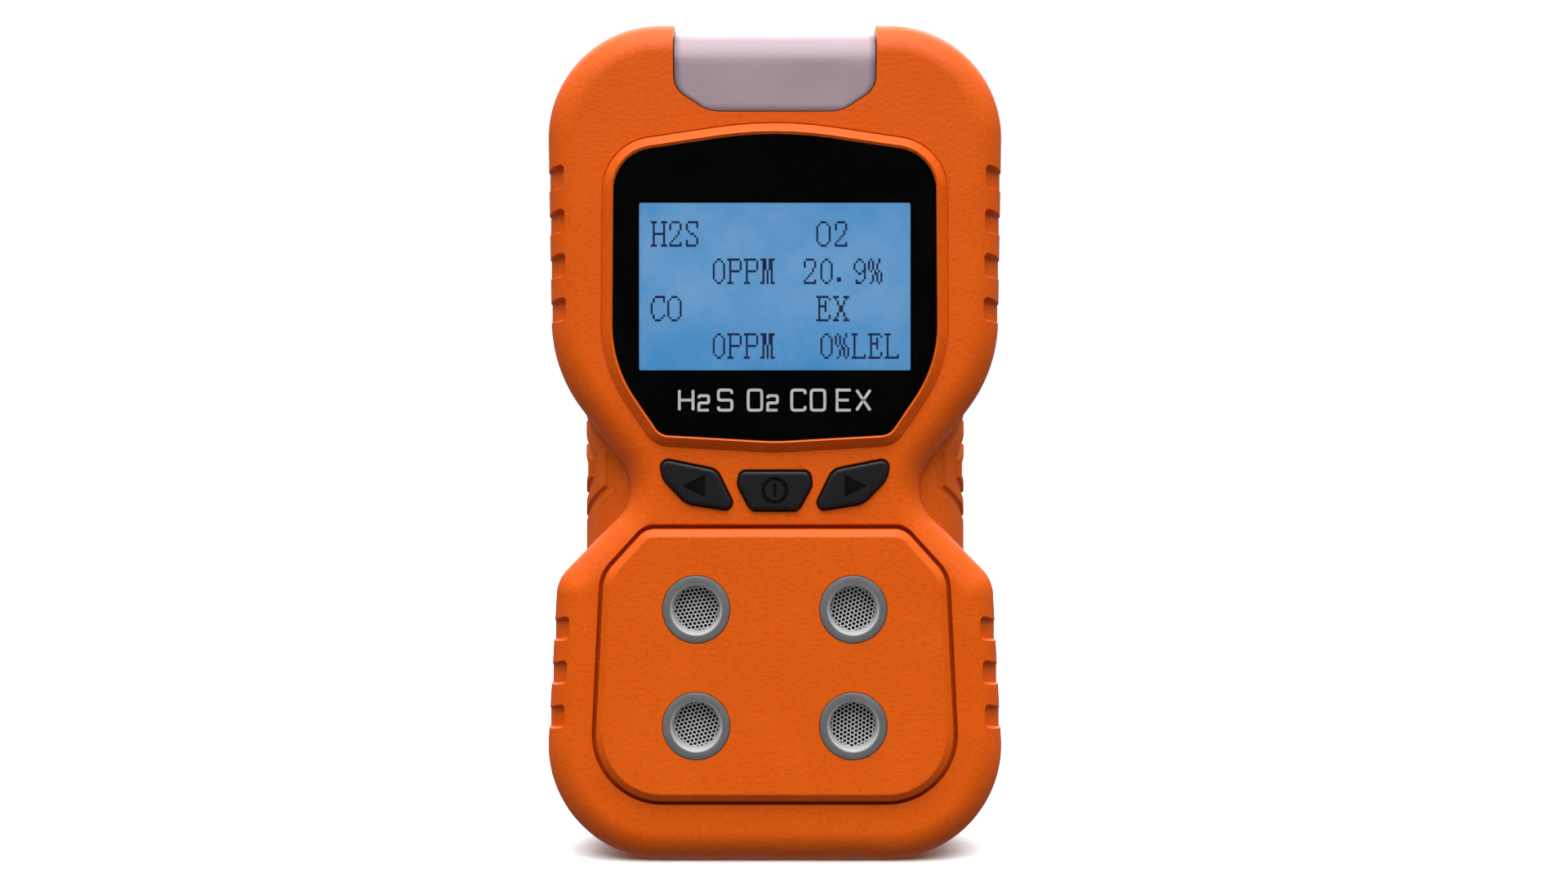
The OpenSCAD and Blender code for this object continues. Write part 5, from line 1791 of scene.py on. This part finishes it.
@dataclass
class BeltClip:
    """The stamped base with its ears, the sprung jaw, the pin and the coiled spring."""

    palette: Palette
    jaw_width: float = 18.0
    jaw_thickness: float = 1.4
    corner: float = 3.2
    rib_width: float = 5.0
    rib_depth: float = 0.35
    coil_turns: int = 7
    wire: float = 0.8
    knuckle: float = 5.6
    pin_d: float = 3.0

    def jaw_path(self) -> np.ndarray:
        """Centre of the jaw's outer face, as (y, z) from its tip up to the thumb end.

        A smooth curve through a few places beside the hinge: the piecewise cubic that keeps
        the slope between a place's two neighbours.
        """
        axis = joint_place("clip_open")
        y, z = axis[1] + 2.6 + self.jaw_thickness, axis[2]
        back = LEVELS.rear
        knots = np.array([
            (back + 4.7, z - 35.9), (back + 3.6, z - 33.6), (back + 3.75, z - 31.6), (y - 1.1, z - 26.5),
            (y - 0.1, z - 21), (y, z - 12), (y, z), (y, z + 4), (y + 0.75, z + 12), (y + 2.8, z + 20),
        ])
        slope = np.gradient(knots, axis=0)
        t = np.linspace(0, 1, 12, endpoint=False)[:, None, None]
        a, b, ma, mb = knots[:-1], knots[1:], slope[:-1], slope[1:]
        cubic = (2 * t**3 - 3 * t**2 + 1) * a + (t**3 - 2 * t**2 + t) * ma
        cubic = cubic + (3 * t**2 - 2 * t**3) * b + (t**3 - t**2) * mb
        return np.concatenate([cubic.transpose(1, 0, 2).reshape(-1, 2), knots[-1:]])

    def jaw(self) -> None:
        """The jaw: a sheet over path and width with rounded corners and a pressed rib.

        At distance d from an end the half width is w - r + sqrt(r^2 - (r - d)^2) while d < r.
        The rib sinks by a smooth bell across the width, away from the ends.
        """
        path = self.jaw_path()
        run = np.concatenate([[0], np.cumsum(np.linalg.norm(np.diff(path, axis=0), axis=1))])
        extra = np.linspace(0, self.corner, 9)[1:-1] ** 2 / self.corner
        stops = np.unique(np.concatenate([run, extra, run[-1] - extra]))
        path = np.stack([np.interp(stops, run, path[:, 0]), np.interp(stops, run, path[:, 1])], 1)
        ends = np.minimum(stops, stops[-1] - stops)
        d = np.clip(ends, 0, self.corner)
        r = self.corner
        half = self.jaw_width / 2 - r + np.sqrt(np.clip(r * r - (r - d) ** 2, 0, None))
        u = np.sin(np.linspace(-1, 1, 49) * math.pi / 2)
        x = half[:, None] * u
        fade = np.clip((ends - 5) / 4, 0, 1)[:, None]
        rib = np.clip(1.5 - np.abs(x) / self.rib_width * 2.2, 0, 1)
        sink = self.rib_depth * fade * rib * rib * (3 - 2 * rib)
        y = path[:, :1] - sink
        z = np.broadcast_to(path[:, 1:], x.shape)
        points = np.stack([x, y, z], -1).reshape(-1, 3)
        faces = quads(len(path), 49, around=False)
        piece = Shape(points, faces.tolist()).made("jaw_plate", outwards=False)
        thick = piece.modifiers.new("sheet", "SOLIDIFY")
        thick.thickness = self.jaw_thickness * MM
        thick.offset = -1.0
        bevelled(piece, 0.3, 3, 50)
        settle(piece)
        self.palette.clip.dress(smooth(piece, 40), Body.JAW, "clip_jaw")
        axis = joint_place("clip_open")
        inner = self.coil_width / 2 + 1.1
        tube = bar(axis[1], axis[2], self.knuckle, self.pin_d + 0.1, inner, self.jaw_width / 2)
        across = (inner + 0.05, self.jaw_width / 2 - 0.05)
        web = block(across, (axis[1] + 2.3, axis[1] + 3.3), (axis[2] - 2.3, axis[2] + 2.3))
        knuckles = (tube + web).both().made("jaw_knuckles")
        self.palette.clip.dress(smooth(knuckles, 40), Body.JAW, "clip_jaw")

    @property
    def coil_width(self) -> float:
        """Length of the coil along the pin."""
        return (self.coil_turns - 1) * self.wire * 0.95

    def spring(self) -> None:
        """The spring: a straight leg, a helix about the pin and another straight leg.

        The helix is (x, r cos t, r sin t) about the pin, with x rising evenly with the angle t.
        """
        axis = joint_place("clip_open")
        radius = (self.pin_d + 0.3 + self.wire) / 2
        turns = self.coil_turns - 1.5
        t = np.linspace(math.pi, math.pi + 2 * math.pi * turns, int(turns * 36))
        x = np.linspace(-self.coil_width / 2, self.coil_width / 2, len(t))
        coil = np.stack([x, axis[1] + radius * np.cos(t), axis[2] + radius * np.sin(t)], 1)
        rise = np.linspace(7, 0.4, 10)[:, None] * [0, 0, 1]
        first, last = coil[0], coil[-1]
        upper, lower = rise * self.leg_sign(t[0]), rise[::-1] * -self.leg_sign(t[-1])
        path = np.concatenate([first + upper, coil, last + lower])
        piece = swept(path, self.wire).made("clip_coil")
        start = Vector((0, axis[1] * MM, (axis[2] + 1.0) * MM))
        end = Vector((0, axis[1] * MM, (axis[2] + 4.0) * MM))
        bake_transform(piece, Body.HOUSING.value, Body.JAW.value, start=tuple(start), end=tuple(end))
        self.palette.clip.dress(smooth(piece, 60), Body.HOUSING, "clip_spring")

    @staticmethod
    def leg_sign(angle: float) -> float:
        """Which way a leg leaves the helix along Z: against the way that the helix sets off."""
        return -math.copysign(1.0, math.cos(angle))

    def build(self) -> None:
        """All of the clip."""
        base = softened("clip_base", "clip_base_plate", 0.22)
        self.palette.clip.dress(base, Body.HOUSING, "clip_base")
        pin = softened("clip_pin", "clip_hinge_pin", 0.2)
        self.palette.screw.dress(pin, Body.HOUSING, "clip_pin")
        screws = softened("clip_screws", "clip_fixing_screws", 0.12)
        self.palette.screw.dress(screws, Body.HOUSING, "clip_screws")
        self.jaw()
        self.spring()


# ---- Rear fittings and insides ----


@dataclass
class RearFittings:
    """The charging port's cover, the socket and the blank label."""

    palette: Palette
    rule: float = 0.18

    def label(self) -> None:
        """A blank label with a printed border and empty fields."""
        low, high = extent("rating_label")
        z0, z1, y = float(low[2]), float(high[2]), float(high[1])
        width = float(high[0] - low[0])
        outline = Outline.box(width, z0, z1, 1.3)
        film = loft([(outline, float(low[1])), (outline, y - 0.04), (outline.inset(0.05), y - 0.01)])
        self.palette.label.dress(smooth(film.made("label_film_blank")), Body.HOUSING, "rating_label")
        border = Outline.box(width - 2.4, z0 + 1.2, z1 - 1.2, 0.8).points
        left, right = -width / 2 + 3, width / 2 - 3
        rules = [stroke(border, self.rule, y - 0.011, y - 0.002, loop=True)]
        for z in np.linspace(z0 + 5, z1 - 5, 3):
            rules.append(stroke([(left, z), (right, z)], self.rule, y - 0.011, y - 0.002))
        self.palette.key_mark.dress(joined(rules).made("label_rules"), Body.HOUSING)

    def build(self) -> None:
        """The fittings on the rear."""
        flap = softened("port_cover", "port_flap", 0.25, 3)
        self.palette.flap.dress(flap, Body.FLAP, "port_cover")
        pin = softened("port_cover_pin", "port_flap_pin", 0.08)
        self.palette.steel.dress(pin, Body.HOUSING, "port_cover_pin")
        socket = softened("charging_socket", "charging_shell", 0.08)
        self.palette.steel.dress(socket, Body.HOUSING, "charging_socket")
        self.label()


@dataclass
class Insides:
    """What lies inside the housing, which keeps its frame shape."""

    palette: Palette

    def build(self) -> None:
        """Dresses every inner node."""
        self.palette.board.dress_node("main_board", "charge_board")
        self.palette.black.dress_node("board_chips", "buzzer")
        self.palette.screw.dress_node("board_screws")
        self.palette.battery.dress_node("battery_pack")
        self.palette.brass.dress_node("battery_contacts", "eccentric_weight")
        self.palette.steel.dress_node("vibration_motor", "motor_shaft")


# ---- Studio ----


@dataclass
class Studio:
    """Pale floor, white surroundings, soft light from above and the camera."""

    eye: tuple[float, float, float] = (1.42, -350.5, 65.2)
    lens: float = 50.0
    sensor: float = 36.0
    dome_r: float = 4.0
    key_strength: float = 3.45
    key_tilt: float = 30.0
    key_spread: float = 60.0
    back_strength: float = 1.6
    back_tilt: float = -55.0
    sky: float = 2.3
    horizon: float = 0.27
    sky_from: float = 0.3

    def camera(self) -> None:
        """A level camera in front of the detector."""
        data = bpy.data.cameras.new("camera")
        data.lens = self.lens
        data.sensor_width = self.sensor
        data.clip_start = 0.01
        camera = bpy.data.objects.new("camera", data)
        camera.location = np.array(self.eye) * MM
        camera.rotation_euler = (math.pi / 2, 0, 0)
        bpy.context.scene.collection.objects.link(camera)
        bpy.context.scene.camera = camera

    def floor(self) -> None:
        """A wide round floor that the detector stands on."""
        a = np.linspace(0, 2 * math.pi, 96, endpoint=False)
        ring = np.stack([np.cos(a), np.sin(a), np.zeros_like(a)], 1) * self.dome_r / MM
        floor = Shape(ring, [list(range(96))]).made("floor", outwards=False)
        graph = Graph("pale_floor")
        tone = graph.ramp(graph.noise(60, 3), [(0.3, (0.86, 0.86, 0.86)), (0.7, (0.9, 0.9, 0.9))])
        graph.set(Base_Color=tone, Roughness=0.8)
        floor.data.materials.append(graph.material)
        floor.visible_diffuse = False
        floor.visible_glossy = False

    def surroundings(self) -> None:
        """A white dome that only the camera sees, so that the background is plain from every side."""
        rows, columns = 33, 64
        polar = np.linspace(0.001, math.pi - 0.001, rows)[:, None]
        around = np.linspace(0, 2 * math.pi, columns, endpoint=False)[None]
        x = np.sin(polar) * np.cos(around)
        y = np.sin(polar) * np.sin(around)
        z = np.broadcast_to(np.cos(polar), x.shape)
        points = np.stack([x, y, z], -1).reshape(-1, 3) * self.dome_r / MM * 1.01
        dome = Shape(points, quads(rows, columns).tolist()).made("surroundings", outwards=False)
        graph = Graph("white_surroundings")
        graph.set(Base_Color=(0, 0, 0, 1), Roughness=1.0, Emission_Color=(1, 1, 1, 1), Emission_Strength=1.0,
                  Specular_IOR_Level=0.0)
        dome.data.materials.append(graph.material)
        dome.visible_diffuse = False
        dome.visible_glossy = False
        dome.visible_transmission = False
        dome.visible_shadow = False

    def light(self) -> None:
        """Broad lights from above, in front and behind, and a sky that is brightest overhead."""
        for name, strength, tilt in (
            ("overhead", self.key_strength, self.key_tilt), ("behind", self.back_strength, self.back_tilt)
        ):
            data = bpy.data.lights.new(name, "SUN")
            data.energy = strength
            data.angle = math.radians(self.key_spread)
            light = bpy.data.objects.new(name, data)
            light.rotation_euler = (math.radians(tilt), 0, 0)
            bpy.context.scene.collection.objects.link(light)
        world = bpy.data.worlds.new("soft_sky")
        world.use_nodes = True
        nodes, links = world.node_tree.nodes, world.node_tree.links
        source = nodes.new("ShaderNodeTexCoord")
        split = nodes.new("ShaderNodeSeparateXYZ")
        reach = nodes.new("ShaderNodeMapRange")
        links.new(source.outputs["Generated"], split.inputs["Vector"])
        links.new(split.outputs["Z"], reach.inputs["Value"])
        reach.inputs["From Min"].default_value = self.sky_from
        reach.inputs["From Max"].default_value = 1.0
        reach.inputs["To Min"].default_value = self.horizon
        reach.inputs["To Max"].default_value = self.sky
        nodes["Background"].inputs["Color"].default_value = (1, 1, 1, 1)
        links.new(reach.outputs["Result"], nodes["Background"].inputs["Strength"])
        bpy.context.scene.world = world

    def build(self) -> None:
        """The whole studio."""
        bpy.context.scene.view_settings.view_transform = "Standard"
        self.camera()
        self.floor()
        self.surroundings()
        self.light()


def main() -> None:
    """Builds every sub-assembly in order."""
    logging.basicConfig(level=logging.INFO, format="%(name)s: %(message)s")
    palette = Palette()
    assemblies = [
        Covers(palette), SideGrips(palette), Display(palette), Keys(palette), SensorFace(palette),
        AlarmLight(palette), BeltClip(palette), RearFittings(palette), Insides(palette), Studio(),
    ]
    for assembly in assemblies:
        LOG.info("building %s", type(assembly).__name__)
        assembly.build()


if __name__ == "__main__":
    main()
